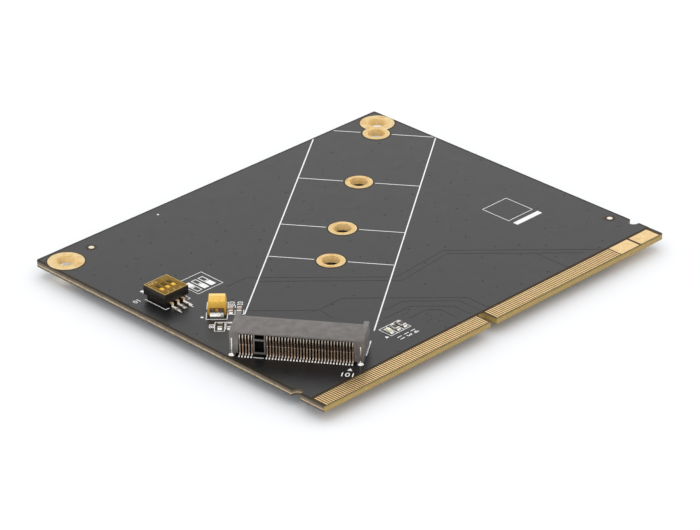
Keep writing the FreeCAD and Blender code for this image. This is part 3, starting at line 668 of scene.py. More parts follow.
def make_finishes(plan: "Plan") -> Finishes:
    """Make every finish.

    Args:
        plan: places on the card, for the finishes that change along it.

    Returns:
        The materials by use.
    """
    along = (plan.capacitor.x + plan.capacitor.y) / math.sqrt(2)
    outline = {"low": (plan.low.x, plan.low.y), "high": (plan.high.x, plan.high.y)}
    return Finishes(
        mask=MaskFinish("solder_mask", (0.0074, 0.0074, 0.0078), (0.0118, 0.0115, 0.0122), 0.9,
                        (0.27, 0.34), 0.0004, 0.05, **outline).material(),
        tent=Finish("via_tent", (0.003, 0.003, 0.003), (0.009, 0.009, 0.009), 0.2, (0.6, 0.75)).material(),
        # painted highlight low in the middle of the cut edge, with painted shade above and below it
        laminate=LaminateFinish("cut_edge_painted_light", (0.06, 0.043, 0.024), (0.66, 0.52, 0.335), 0.3,
                                (0.5, 0.7), 0.008, 0.06).material(),
        # the contact edge's stops make it darker towards the top
        contact_laminate=LaminateFinish("contact_edge", (0.20, 0.13, 0.035), (0.42, 0.295, 0.085), 0.4,
                                        (0.45, 0.65), 0.006, 0.05, scorched=(0.8, 0.95),
                                        painted_light_stops=((0.0, 0.7), (0.3, 0.95), (0.6, 1.0), (0.82, 0.85), (0.9, 0.4),
                                               (1.0, 0.3))).material(),
        bare=Finish("bare_laminate", (0.036, 0.022, 0.011), (0.070, 0.044, 0.024), 0.3, (0.5, 0.7), 0.004, 0.05,
                    specular=0.2).material(),
        gold=GoldFinish("gold_flash", (0.76, 0.53, 0.25), (0.90, 0.66, 0.34), 0.5,
                        (0.30, 0.42), 0.0008, 0.05, 1.0, warm_share=(0.62, 0.9)).material(),
        contact=contact_finish("edge_contacts_top").material(),
        contact_below=contact_finish("edge_contacts_bottom").material(),
        pale=GoldFinish("pale_gold", (0.80, 0.76, 0.65), (0.90, 0.87, 0.77), 0.4,
                        (0.34, 0.48), 0.002, 0.06, 1.0, warm=(0.72, 0.62, 0.42)).material(),
        ring=GoldFinish("gold_ring", (0.72, 0.54, 0.26), (0.85, 0.67, 0.37), 0.35,
                        (0.34, 0.48), 0.003, 0.07, 1.0, warm_share=(0.5, 0.75)).material(),
        inner=GoldFinish("gold_ring_worn", (0.72, 0.47, 0.17), (0.84, 0.60, 0.26), 0.35,
                         (0.30, 0.45), 0.003, 0.07, 1.0, warm_share=(0.6, 0.85)).material(),
        # painted light: the hole walls' gold is paler and mostly diffuse, to look lit inside the holes
        barrel_lit=GoldFinish("gold_barrel_painted_light", (0.98, 0.68, 0.28), (1.0, 0.80, 0.42), 0.4,
                          (0.40, 0.55), 0.003, 0.08, 0.25, warm=(0.95, 0.58, 0.18)).material(),
        # painted shade in a band partway up the legs, and a painted highlight on the tops of the upper contacts
        legs=LegFinish("contact_bronze", (0.42, 0.29, 0.20), (0.60, 0.43, 0.31), 0.3, (0.28, 0.42), 0.001, 0.06, 0.6,
                       painted_shade_shares=((0.0, 0.95), (0.42, 0.85), (0.50, 0.6), (0.68, 0.6), (0.76, 1.0), (1.0, 1.0)),
                       tin_from=1.5, tin_below=1.32, highlight_from=4.2, highlight_above=4.4).material(),
        pins=LegFinish("pin_plating", (0.80, 0.52, 0.26), (0.92, 0.66, 0.38), 0.3, (0.18, 0.3), 0.001, 0.06, 0.45,
                       tin=(0.92, 0.88, 0.80), tin_from=1.85, tin_below=1.5).material(),
        tin=Finish("bright_tin", (0.66, 0.61, 0.54), (0.84, 0.81, 0.76), 0.25,
                   (0.2, 0.36), 0.003, 0.08, 1.0).material(),
        solder=Finish("solder_joint", (0.70, 0.67, 0.62), (0.93, 0.91, 0.88), 0.3,
                      (0.14, 0.3), 0.008, 0.15, 1.0).material(),
        # painted shade on the ribs at the socket's back
        housing=HousingFinish("housing_plastic", (0.114, 0.103, 0.098), (0.168, 0.153, 0.147), 1.4,
                              (0.40, 0.52), 0.003, 0.05, turn=math.atan2(plan.along.y, plan.along.x),
                              datum_u=plan.datum.dot(plan.along),
                              datum_v=plan.datum.dot(Vector((-plan.along.y, plan.along.x, 0.0)))).material(),
        # painted shade: the capacitor's terminals are dark brown above their tin, where shadow falls
        leads_shaded=LegFinish("lead_strip_painted_shade", (0.16, 0.095, 0.065), (0.26, 0.16, 0.11), 0.3,
                        (0.3, 0.45), 0.002, 0.06, 1.0, tin_from=2.0, tin_below=1.88).material(),
        # painted shade: near-black, almost unglossy faces inside the socket's windows and mouth
        cavity_shade=Finish("housing_inside_painted_shade", (0.003, 0.003, 0.003), (0.007, 0.0065, 0.006), 0.7,
                      (0.6, 0.75), 0.003, 0.05, specular=0.08).material(),
        switch=Finish("switch_plastic", (0.011, 0.009, 0.008), (0.021, 0.017, 0.015), 0.5,
                      (0.30, 0.42), 0.003, 0.05, specular=0.28).material(),
        adhesive=Finish("film_adhesive", (0.105, 0.062, 0.02), (0.165, 0.10, 0.032), 0.6,
                        (0.3, 0.45), 0.002, 0.1).material(),
        film=FilmFinish("amber_film", (0.50, 0.33, 0.08), (0.72, 0.48, 0.14), 0.8, (0.10, 0.22), 0.001, 0.3).material(),
        lever=Finish("lever_plastic", (0.97, 0.78, 0.36), (1.0, 0.90, 0.52), 0.3, (0.3, 0.4), 0.003, 0.06).material(),
        # painted shade towards the foot of the capacitor
        resin=ResinFinish("capacitor_resin", (0.72, 0.40, 0.035), (0.84, 0.52, 0.075), 0.4, (0.35, 0.5),
                          0.004, 0.06, band_from=along + 0.62, band_to=along + 0.70).material(),
        tan=Finish("tan_ceramic", (0.25, 0.165, 0.115), (0.36, 0.25, 0.19), 0.2, (0.4, 0.55), 0.005, 0.05).material(),
        white=Finish("white_ceramic", (0.62, 0.61, 0.58), (0.78, 0.77, 0.74), 0.2, (0.4, 0.55), 0.005, 0.05).material(),
        glaze=Finish("resistor_glaze", (0.010, 0.010, 0.011), (0.03, 0.03, 0.032), 0.2,
                     (0.2, 0.3), 0.003, 0.08).material(),
        lens=Finish("diode_resin", (0.74, 0.71, 0.52), (0.88, 0.86, 0.70), 0.3, (0.2, 0.3), 0.003, 0.1).material(),
        ink=InkFinish("silk_ink", (0.80, 0.80, 0.79), (0.92, 0.92, 0.91), 0.3, (0.55, 0.7), 0.004, 0.04).material(),
        faint=Finish("faint_ink", (0.48, 0.34, 0.12), (0.62, 0.46, 0.19), 0.2, (0.4, 0.5)).material(),
    )


# ---------------------------------------------------------------------------------------------
# Mesh helpers

def register(piece: bpy.types.Object, body: str = CARD, replaces: Sequence[str] = ()) -> bpy.types.Object:
    """Attach a finished piece to its body, and hide the CAD nodes that it stands for.

    Args:
        piece: the object, with its place in its mesh.
        body: the body that it rides on.
        replaces: CAD nodes that it stands for.

    Returns:
        The same piece.
    """
    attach(piece, body)
    if replaces:
        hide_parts(*replaces)
    log.info("%s: %d faces on %s", piece.name, len(piece.data.polygons), body)
    return piece


def new_object(name: str, mesh: bpy.types.Mesh, *materials: bpy.types.Material) -> bpy.types.Object:
    """Put a mesh in the scene.

    Args:
        name: the object's name.
        mesh: its mesh.
        materials: finishes, in slot order.

    Returns:
        The new object.
    """
    for material in materials:
        mesh.materials.append(material)
    piece = bpy.data.objects.new(name, mesh)
    bpy.context.scene.collection.objects.link(piece)
    return piece


def merged_copy(node: str) -> bmesh.types.BMesh:
    """A CAD node's mesh with its doubles merged and its flat faces joined.

    Args:
        node: the node's name.

    Returns:
        A new bmesh, to be freed by the caller.
    """
    shape = bmesh.new()
    shape.from_mesh(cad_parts[node].data)
    bmesh.ops.remove_doubles(shape, verts=shape.verts, dist=MERGE)
    bmesh.ops.dissolve_limit(shape, angle_limit=math.radians(0.5), verts=shape.verts, edges=shape.edges)
    return shape


def finish_mesh(shape: bmesh.types.BMesh, name: str, smooth_below: float = 40.0) -> bpy.types.Mesh:
    """Write a bmesh to a mesh with sharp edges where it bends hard.

    Args:
        shape: the bmesh, which is freed.
        name: the mesh's name.
        smooth_below: edges under this many degrees are shaded smooth.

    Returns:
        The mesh.
    """
    for face in shape.faces:
        face.smooth = True
    limit = math.radians(smooth_below)
    for edge in shape.edges:
        edge.smooth = len(edge.link_faces) == 2 and edge.calc_face_angle(0.0) < limit
    mesh = bpy.data.meshes.new(name)
    shape.to_mesh(mesh)
    shape.free()
    return mesh


def soften(shape: bmesh.types.BMesh, radius: float, segments: int = 2, sharper_than: float = 30.0,
           keep: Callable[[bmesh.types.BMEdge], bool] = lambda edge: True) -> None:
    """Round the hard edges of a bmesh.

    Args:
        shape: the bmesh.
        radius: bevel width in millimetres.
        segments: faces across each rounded edge.
        sharper_than: only edges that bend more than this many degrees.
        keep: says which edges may be rounded.
    """
    limit = math.radians(sharper_than)
    edges = [edge for edge in shape.edges
             if len(edge.link_faces) == 2 and edge.calc_face_angle(0.0) > limit and keep(edge)]
    bmesh.ops.bevel(shape, geom=edges, offset=radius * MM, segments=segments, profile=0.5,
                    affect="EDGES", clamp_overlap=True)


def add_piece(name: str, shape: bmesh.types.BMesh, slot: str, *materials: bpy.types.Material, body: str = CARD,
              replaces: Sequence[str] = ()) -> bpy.types.Object:
    """Turn a bmesh into a piece of the object.

    Args:
        name: the piece's name.
        shape: the bmesh, which is freed.
        slot: the record's material slot; not used.
        materials: finishes, in slot order.
        body: the body that it rides on.
        replaces: CAD nodes that it stands for.

    Returns:
        The new piece.
    """
    return register(new_object(name, finish_mesh(shape, name), *materials), body, replaces)


def softened_node(node: str, finish: bpy.types.Material, slot: str, radius: float, body: str = CARD,
                  segments: int = 2) -> bpy.types.Object:
    """A CAD node with its edges rounded, which stands for the node.

    Args:
        node: the node's name.
        finish: its material.
        slot: the record's material slot.
        radius: edge rounding in millimetres.
        body: the body that it rides on.
        segments: faces across each rounded edge.

    Returns:
        The new piece.
    """
    shape = merged_copy(node)
    soften(shape, radius, segments)
    return add_piece(node + "_dressed", shape, slot, finish, body=body, replaces=(node,))


def dress_nodes(finish: bpy.types.Material, *nodes: str) -> None:
    """Give CAD nodes a better material, as they are."""
    for node in nodes:
        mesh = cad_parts[node].data
        mesh.materials.clear()
        mesh.materials.append(finish)


def block(shape: bmesh.types.BMesh, low: Vector, high: Vector, place: Matrix = Matrix.Identity(4)) -> None:
    """Add a block between two corners, in millimetres, moved by a matrix in millimetres."""
    size = high - low
    matrix = place @ Matrix.Translation((low + high) / 2) @ Matrix.Diagonal((*size, 1.0))
    bmesh.ops.create_cube(shape, size=1.0, matrix=Matrix.Scale(MM, 4) @ matrix)


# ---------------------------------------------------------------------------------------------
# Geometry Nodes patterns

class PatternTree:
    """A Geometry Nodes tree with named inputs, which ends in Realize Instances and Set Material."""

    def __init__(self, name: str) -> None:
        """Start the tree with its geometry in and out.

        Args:
            name: the tree's name.
        """
        self.tree = bpy.data.node_groups.new(name, "GeometryNodeTree")
        self.tree.interface.new_socket("Geometry", in_out="INPUT", socket_type="NodeSocketGeometry")
        self.tree.interface.new_socket("Geometry", in_out="OUTPUT", socket_type="NodeSocketGeometry")
        self.sink = self.tree.nodes.new("NodeGroupOutput")

    def entry(self, name: str, kind: str = "NodeSocketFloat") -> bpy.types.NodeSocket:
        """A named input of the tree.

        Args:
            name: the input's name; a new one is declared.
            kind: its socket type.

        Returns:
            The socket that carries it.
        """
        if name not in [item.name for item in self.tree.interface.items_tree]:
            self.tree.interface.new_socket(name, in_out="INPUT", socket_type=kind)
        return self.tree.nodes.new("NodeGroupInput").outputs[name]

    def add(self, kind: str, inputs: dict[str | int, object] | None = None, **settings: object) -> bpy.types.Node:
        """Add a node, with its inputs linked from sockets or set to values.

        Args:
            kind: the node's type.
            inputs: sockets or values by input name or index.
            settings: properties of the node.

        Returns:
            The new node.
        """
        node = self.tree.nodes.new(kind)
        for key, value in settings.items():
            setattr(node, key, value)
        for key, value in (inputs or {}).items():
            if isinstance(value, bpy.types.NodeSocket):
                self.tree.links.new(value, node.inputs[key])
            else:
                node.inputs[key].default_value = value
        return node

    def close(self, geometry: bpy.types.NodeSocket) -> None:
        """End the tree.

        Args:
            geometry: what the tree has made.
        """
        real = self.add("GeometryNodeRealizeInstances", {"Geometry": geometry})
        dressed = self.add("GeometryNodeSetMaterial", {"Geometry": real.outputs["Geometry"],
                                                       "Material": self.entry("Material", "NodeSocketMaterial")})
        self.tree.links.new(dressed.outputs["Geometry"], self.sink.inputs["Geometry"])

    def grow(self, name: str, values: dict[str, object], carrier: bpy.types.Mesh | None = None) -> bpy.types.Object:
        """Run the tree and keep the result as a plain object.

        Args:
            name: the new object's name.
            values: the tree's inputs by name.
            carrier: the mesh that the tree starts from, where it starts from one.

        Returns:
            The new object, with no modifier left.
        """
        holder = bpy.data.objects.new(name + "_carrier", carrier or bpy.data.meshes.new(name + "_carrier"))
        bpy.context.scene.collection.objects.link(holder)
        modifier = holder.modifiers.new("pattern", "NODES")
        modifier.node_group = self.tree
        for item in self.tree.interface.items_tree:
            if item.in_out == "INPUT" and item.name in values:
                modifier[item.identifier] = values[item.name]
        graph = bpy.context.evaluated_depsgraph_get()
        graph.update()
        mesh = bpy.data.meshes.new_from_object(holder.evaluated_get(graph), depsgraph=graph)
        mesh.name = name
        bpy.data.objects.remove(holder)
        shape = bmesh.new()
        shape.from_mesh(mesh)
        bmesh.ops.recalc_face_normals(shape, faces=shape.faces)
        return new_object(name, finish_mesh(shape, name), values["Material"])


@cache
def line_tree() -> PatternTree:
    """Flat lines along the carrier's edges, with rounded corners.

    Returns:
        A tree with inputs Width, Height and Corner, in metres.
    """
    tree = PatternTree("printed_lines")
    curves = tree.add("GeometryNodeMeshToCurve", {"Mesh": tree.entry("Geometry")})
    rounded = tree.add("GeometryNodeFilletCurve", {"Curve": curves.outputs["Curve"], "Count": 4,
                                                   "Radius": tree.entry("Corner"), "Limit Radius": True}, mode="POLY")
    upright = tree.add("GeometryNodeSetCurveNormal", {"Curve": rounded.outputs["Curve"]}, mode="Z_UP")
    profile = tree.add("GeometryNodeCurvePrimitiveQuadrilateral", {"Width": tree.entry("Width"),
                                                                   "Height": tree.entry("Height")})
    ribbon = tree.add("GeometryNodeCurveToMesh", {"Curve": upright.outputs["Curve"],
                                                  "Profile Curve": profile.outputs["Curve"], "Fill Caps": True})
    tree.close(ribbon.outputs["Mesh"])
    return tree


def row_tree() -> PatternTree:
    """Copies of a part in a straight row, with a gap.

    Returns:
        A tree with inputs Part, Count, Start, Step, Gap First, Gap Last and Turn.
    """
    tree = PatternTree("row_of_parts")
    line = tree.add("GeometryNodeMeshLine", {"Count": tree.entry("Count", "NodeSocketInt"),
                                             "Start Location": tree.entry("Start", "NodeSocketVector"),
                                             "Offset": tree.entry("Step", "NodeSocketVector")}, mode="OFFSET")
    index = tree.add("GeometryNodeInputIndex").outputs[0]
    after = tree.add("FunctionNodeCompare", {2: index, 3: tree.entry("Gap First", "NodeSocketInt")},
                     data_type="INT", operation="GREATER_EQUAL")
    before = tree.add("FunctionNodeCompare", {2: index, 3: tree.entry("Gap Last", "NodeSocketInt")},
                      data_type="INT", operation="LESS_EQUAL")
    gap = tree.add("FunctionNodeBooleanMath", {0: after.outputs[0], 1: before.outputs[0]}, operation="AND")
    kept = tree.add("GeometryNodeDeleteGeometry", {"Geometry": line.outputs["Mesh"], "Selection": gap.outputs[0]})
    part = tree.add("GeometryNodeObjectInfo", {"Object": tree.entry("Part", "NodeSocketObject")})
    turn = tree.add("ShaderNodeCombineXYZ", {"Z": tree.entry("Turn")})
    copies = tree.add("GeometryNodeInstanceOnPoints", {"Points": kept.outputs[0], "Instance": part.outputs["Geometry"],
                                                       "Rotation": turn.outputs[0]})
    tree.close(copies.outputs["Instances"])
    return tree


def scatter_tree() -> PatternTree:
    """Low domes scattered over a rectangle, clear of a keep-out mesh.

    Returns:
        A tree with inputs Wide, Deep, Across, Down, Height, Jitter, Dropped, Radius, Dome, Clear, Keep Out and Seed.
    """
    tree = PatternTree("scattered_vias")
    grid = tree.add("GeometryNodeMeshGrid", {"Size X": tree.entry("Wide"), "Size Y": tree.entry("Deep"),
                                             "Vertices X": tree.entry("Across", "NodeSocketInt"),
                                             "Vertices Y": tree.entry("Down", "NodeSocketInt")})
    seed = tree.entry("Seed", "NodeSocketInt")
    jitter = tree.entry("Jitter")
    back = tree.add("ShaderNodeMath", {0: 0.0, 1: jitter}, operation="SUBTRACT")
    low = tree.add("ShaderNodeCombineXYZ", {"X": back.outputs[0], "Y": back.outputs[0],
                                            "Z": tree.entry("Height")})
    high = tree.add("ShaderNodeCombineXYZ", {"X": jitter, "Y": jitter, "Z": tree.entry("Height")})
    shift = tree.add("FunctionNodeRandomValue", {0: low.outputs[0], 1: high.outputs[0], "Seed": seed},
                     data_type="FLOAT_VECTOR")
    placed = tree.add("GeometryNodeSetPosition", {"Geometry": grid.outputs["Mesh"], "Offset": shift.outputs[0]})
    keep_out = tree.add("GeometryNodeObjectInfo", {"Object": tree.entry("Keep Out", "NodeSocketObject")})
    nearest = tree.add("GeometryNodeProximity", {0: keep_out.outputs["Geometry"]}, target_element="EDGES")
    close_by = tree.add("FunctionNodeCompare", {0: nearest.outputs["Distance"], 1: tree.entry("Clear")},
                        data_type="FLOAT", operation="LESS_THAN")
    dropped = tree.add("FunctionNodeRandomValue", {"Probability": tree.entry("Dropped"), "Seed": seed},
                       data_type="BOOLEAN")
    gone = tree.add("FunctionNodeBooleanMath", {0: close_by.outputs[0], 1: dropped.outputs[3]}, operation="OR")
    kept = tree.add("GeometryNodeDeleteGeometry", {"Geometry": placed.outputs[0], "Selection": gone.outputs[0]})
    radius = tree.entry("Radius")
    top = tree.add("ShaderNodeMath", {0: radius, 1: VIA_TOP_SHARE}, operation="MULTIPLY")
    dome = tree.add("GeometryNodeMeshCone", {"Vertices": 12, "Radius Top": top.outputs[0], "Radius Bottom": radius,
                                             "Depth": tree.entry("Dome")})
    copies = tree.add("GeometryNodeInstanceOnPoints", {"Points": kept.outputs[0], "Instance": dome.outputs["Mesh"]})
    tree.close(copies.outputs["Instances"])
    return tree


def path_mesh(name: str, paths: Sequence[Sequence[Vector]], rise: float = 0.0) -> bpy.types.Mesh:
    """A carrier mesh of edges along paths.

    Args:
        name: the mesh's name.
        paths: points of each path, in millimetres; one that ends where it starts is a loop.
        rise: how much higher each path lies than the one before, so that crossing lines share no face.

    Returns:
        The mesh, in metres.
    """
    points: list[Vector] = []
    edges: list[tuple[int, int]] = []
    for number, path in enumerate(paths):
        first = len(points)
        looped = path[0] == path[-1]
        points += [(point + Vector((0.0, 0.0, number * rise))) * MM for point in (path[:-1] if looped else path)]
        last = len(points) - 1
        edges += [(i, i + 1) for i in range(first, last)]
        if looped:
            edges.append((last, first))
    mesh = bpy.data.meshes.new(name)
    mesh.from_pydata(points, edges, [])
    return mesh


def lay_lines(name: str, paths: Sequence[Sequence[Vector]], size: Point2, finish: bpy.types.Material,
              corner: float = 0.0, rise: float = 0.0) -> bpy.types.Object:
    """Lay flat lines along paths, as one piece on the card.

    Args:
        name: the piece's name.
        paths: points of each path, in millimetres.
        size: the lines' width and height, in millimetres.
        finish: the lines' material.
        corner: radius of the paths' corners.
        rise: how much higher each path lies than the one before.

    Returns:
        The new piece.
    """
    values = {"Width": size[0] * MM, "Height": size[1] * MM, "Corner": corner * MM, "Material": finish}
    return register(line_tree().grow(name, values, path_mesh(name, paths, rise)))


def circle(middle: Vector, radius: float, points: int = 32) -> list[Vector]:
    """Points round a circle, back to the first.

    Args:
        middle: its middle.
        radius: its radius.
        points: how many.

    Returns:
        The points in order.
    """
    turns = (2 * math.pi * index / points for index in range(points))
    ring = [middle + Vector((radius * math.cos(turn), radius * math.sin(turn), 0.0)) for turn in turns]
    return ring + ring[:1]


def text_mesh(text: str, size: float, thickness: float) -> bpy.types.Mesh:
    """A flat word or number as a thin solid, centred.

    Args:
        text: what it reads.
        size: its height in millimetres, roughly.
        thickness: its thickness in millimetres.

    Returns:
        The mesh, in metres.
    """
    curve = bpy.data.curves.new("digit", "FONT")
    curve.body = text
    curve.size = size * LETTER_SCALE * MM
    curve.extrude = thickness / 2 * MM
    curve.resolution_u = 3
    curve.align_x = "CENTER"
    curve.align_y = "CENTER"
    holder = bpy.data.objects.new("digit", curve)
    bpy.context.scene.collection.objects.link(holder)
    graph = bpy.context.evaluated_depsgraph_get()
    graph.update()
    mesh = bpy.data.meshes.new_from_object(holder.evaluated_get(graph), depsgraph=graph)
    bpy.data.objects.remove(holder)
    return mesh


@dataclass(frozen=True)
class Label:
    """One plain word or number, printed flat."""

    text: str
    x: float
    y: float
    size: float = 1.1
    turn: float = 0.0


def print_labels(name: str, labels: Sequence[Label], origin: Vector, thickness: float, slot: str,
                 finish: bpy.types.Material) -> bpy.types.Object:
    """Print labels as one thin piece on the card.

    Args:
        name: the piece's name.
        labels: what is printed, and where.
        origin: where the labels' X and Y start, at the height of the ink's middle, in millimetres.
        thickness: the ink's thickness in millimetres.
        slot: the record's material slot.
        finish: the ink.

    Returns:
        The new piece.
    """
    shape = bmesh.new()
    for label in labels:
        mesh = text_mesh(label.text, label.size, thickness)
        place = Matrix.Translation((origin + Vector((label.x, label.y, 0.0))) * MM)
        mesh.transform(place @ Matrix.Rotation(math.radians(label.turn), 4, "Z"))
        shape.from_mesh(mesh)
    bmesh.ops.remove_doubles(shape, verts=shape.verts, dist=MERGE)
    bmesh.ops.recalc_face_normals(shape, faces=shape.faces)
    return add_piece(name, shape, slot, finish)


# ---------------------------------------------------------------------------------------------
# Places on the card

@dataclass(frozen=True)
class Plan:
    """Places on the card, in millimetres, read from the CAD nodes."""

    top: float
    low: Vector
    high: Vector
    datum: Vector
    along: Vector
    capacitor: Vector
    switch: Vector

    @classmethod
    def read(cls) -> "Plan":
        """Read the places from the CAD nodes' boxes.

        Returns:
            The plan.
        """
        low, high = (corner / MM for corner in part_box("circuit_board"))
        near = cls.middle("standoff_plating_30")
        far = cls.middle("standoff_plating_60")
        along = (far - near).normalized()
        datum = near - along * 30.0
        return cls(high.z, low, high, datum, along, cls.middle("capacitor_body"), cls.middle("switch_cover"))

    @staticmethod
    def middle(node: str) -> Vector:
        """Middle of a node on the plan, in millimetres, at height zero."""
        low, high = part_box(node)
        return Vector(((low.x + high.x) / 2, (low.y + high.y) / 2, 0.0)) / MM

    def module(self, u: float, v: float, height: float = 0.0) -> Vector:
        """A point by its distance along and across the module's place.

        Args:
            u: distance along it from the socket's datum.
            v: distance across it, to the left.
            height: height above the board's top.

        Returns:
            The point, in millimetres.
        """
        across = Vector((-self.along.y, self.along.x, 0.0))
        return self.datum + self.along * u + across * v + Vector((0.0, 0.0, self.top + height))

    def at(self, x: float, y: float, height: float = 0.0) -> Vector:
        """A point of the board's top by its X and Y."""
        return Vector((x, y, self.top + height))

    def turned(self, middle: Vector, angle: float, u: float, v: float, height: float = 0.0) -> Vector:
        """A point by its distances along and across a direction, from a middle.

        Args:
            middle: where the distances start.
            angle: the direction, in degrees from X.
            u: distance along it.
            v: distance to its left.
            height: height above the board's top.

        Returns:
            The point, in millimetres.
        """
        cos, sin = math.cos(math.radians(angle)), math.sin(math.radians(angle))
        return Vector((middle.x + u * cos - v * sin, middle.y + u * sin + v * cos, self.top + height))


# ---------------------------------------------------------------------------------------------
# The board and what is printed on it

@dataclass(frozen=True)
class Board:
    """The laminate with its mask, its bare patches, cut edges and plated holes."""

    plan: Plan
    finishes: Finishes
    rim: float = 0.05
    underside_gap: float = 0.012
    hole_reach: float = 1.66
    ring_width: float = 0.9
    front_reach: float = 0.2
    notch_reach: float = 4.5
    copper: float = 0.04
    wear_width: float = 0.5
    wear_height: float = 0.02
    small_ring: float = 2.5
    large_ring: float = 3.2
    clearance: float = 0.26
    mark_dot: float = 0.5
    mark_radius: float = 0.78
    mark_width: float = 0.5
    deep_wall: float = 0.3
    near: float = 0.01
    ring_lap: float = 0.06
    ring_lift: float = 0.002
    arc_lap: float = 0.05
    arc_margin: float = 0.15
    last_stop: float = 80.0
    plated: tuple[str, ...] = ("standoff_plating_30", "standoff_plating_42", "standoff_plating_60")

    def holes(self) -> list[Vector]:
        """Middles of the plated holes, on the plan."""
        corner = Plan.middle("corner_plating")
        mirrored = Vector((-corner.x, corner.y, 0.0))
        last = self.plan.module(self.last_stop, 0.0)
        last.z = 0.0
        return [Plan.middle(node) for node in self.plated] + [corner, mirrored, last]

    def build(self) -> None:
        """Dress the board and add the thin rings below it."""
        shape = merged_copy("circuit_board")
        holes = self.holes()
        for face in shape.faces:
            face.material_index = self.finish_of(face, holes)
        outline = [edge for edge in shape.edges if self.on_outline(edge)]
        bmesh.ops.bevel(shape, geom=outline, offset=self.rim * MM, segments=1, profile=0.5,
                        affect="EDGES", clamp_overlap=True, material=BoardFace.BARE)
        floor = (self.plan.low.z + self.underside_gap) * MM
        for vertex in shape.verts:
            vertex.co.z = max(vertex.co.z, floor)
        f = self.finishes
        add_piece("board_dressed", shape, "board_laminate", f.mask, f.bare, f.laminate, f.contact_laminate, f.barrel_lit,
                  replaces=("circuit_board",))
        self.rings_below(holes)
        self.ring_marks(holes)

    def finish_of(self, face: bmesh.types.BMFace, holes: Sequence[Vector]) -> BoardFace:
        """Which finish a face of the board takes.

        Args:
            face: the face.
            holes: middles of the plated holes.

        Returns:
            The finish's slot.
        """
        middle = face.calc_center_median() / MM
        if abs(face.normal.z) > 0.9:
            return BoardFace.MASK if self.flush(middle.z) else BoardFace.BARE
        if any((Vector((middle.x, middle.y, 0.0)) - hole).length < self.hole_reach for hole in holes):
            return BoardFace.BARREL
        notched = middle.y < self.plan.low.y + self.notch_reach and abs(middle.x) < self.plan.high.x - self.notch_reach
        if notched or middle.y < self.plan.low.y + self.front_reach:
            return BoardFace.CONTACT_CUT
        heights = [vertex.co.z / MM for vertex in face.verts]
        return BoardFace.CUT if max(heights) - min(heights) > self.deep_wall else BoardFace.BARE

    def flush(self, height: float) -> bool:
        """Whether a height is that of the board's top or bottom."""
        return height > self.plan.high.z - self.near or height < self.plan.low.z + self.near

    def on_outline(self, edge: bmesh.types.BMEdge) -> bool:
        """Whether an edge lies along the top or bottom of the board's outline."""
        first, second = (vertex.co / MM for vertex in edge.verts)
        if abs(first.z - second.z) > self.near:
            return False
        along = any(abs(first[axis] - side[axis]) < self.near and abs(second[axis] - side[axis]) < self.near
                    for axis in (0, 1) for side in (self.plan.low, self.plan.high))
        return along and self.flush(first.z)

    def rings_below(self, holes: Sequence[Vector]) -> None:
        """Thin gold rings round the plated holes on the underside."""
        radius = self.hole_reach + self.ring_width / 2 - self.ring_lap
        level = self.plan.low.z + self.underside_gap / 2 + self.ring_lift
        paths = [circle(Vector((hole.x, hole.y, level)), radius, 40) for hole in holes]
        lay_lines("rings_below", paths, (self.ring_width, self.underside_gap), self.finishes.gold)

    def ring_marks(self, holes: Sequence[Vector]) -> None:
        """Warm worn bands round the holes, and the dark line where the mask stops short of each ring."""
        f, top = self.finishes, self.plan.top
        reach = self.hole_reach + self.wear_width / 2
        paths = [circle(Vector((hole.x, hole.y, top + self.copper)), reach, 48) for hole in holes]
        lay_lines("ring_wear", paths, (self.wear_width, self.wear_height), f.inner)
        rims = [(hole, self.small_ring) for hole in holes[:3]] + [(hole, self.large_ring) for hole in holes[3:5]]
        rims.append((holes[5], self.small_ring))
        lines = [arc for hole, radius in rims for arc in self.rim_arcs(hole, radius + self.clearance / 2, rims)]
        lay_lines("mask_clearance", lines, (self.clearance, 2 * Layer.VIA.value), f.bare)
        marks = [circle(Vector((middle.x, middle.y, top)), self.mark_radius, 24) for middle in self.fiducials()]
        lay_lines("fiducial_clearance", marks, (self.mark_width, 2 * Layer.VIA.value), f.bare)

    def rim_arcs(self, hole: Vector, radius: float, rims: Sequence[tuple[Vector, float]]) -> list[list[Vector]]:
        """The parts of a rim that no other ring covers.

        Args:
            hole: middle of the rim.
            radius: its radius.
            rims: every ring's middle and radius.

        Returns:
            Open runs of points.
        """
        side, rear = self.plan.high.x - self.arc_margin, self.plan.high.y - self.arc_margin
        runs: list[list[Vector]] = [[]]
        for point in circle(Vector((hole.x, hole.y, self.plan.top)), radius, 72):
            flat = Vector((point.x, point.y, 0.0))
            covered = any((flat - other).length < reach + self.arc_lap for other, reach in rims if other != hole)
            outside = abs(point.x) > side or point.y > rear
            if covered or outside:
                runs.append([])
            else:
                runs[-1].append(point)
        return [run for run in runs if len(run) > 1]

    def fiducials(self) -> list[Vector]:
        """Middles of the two round marks, on the plan."""
        low, high = (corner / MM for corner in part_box("fiducials"))
        radius = self.mark_dot
        return [Vector((low.x + radius, high.y - radius, 0.0)), Vector((high.x - radius, low.y + radius, 0.0))]


@dataclass(frozen=True)
class Dot:
    """A filled round or three-sided mark, printed flat."""

    x: float
    y: float
    radius: float
    sides: int = 16
    turn: float = 0.0


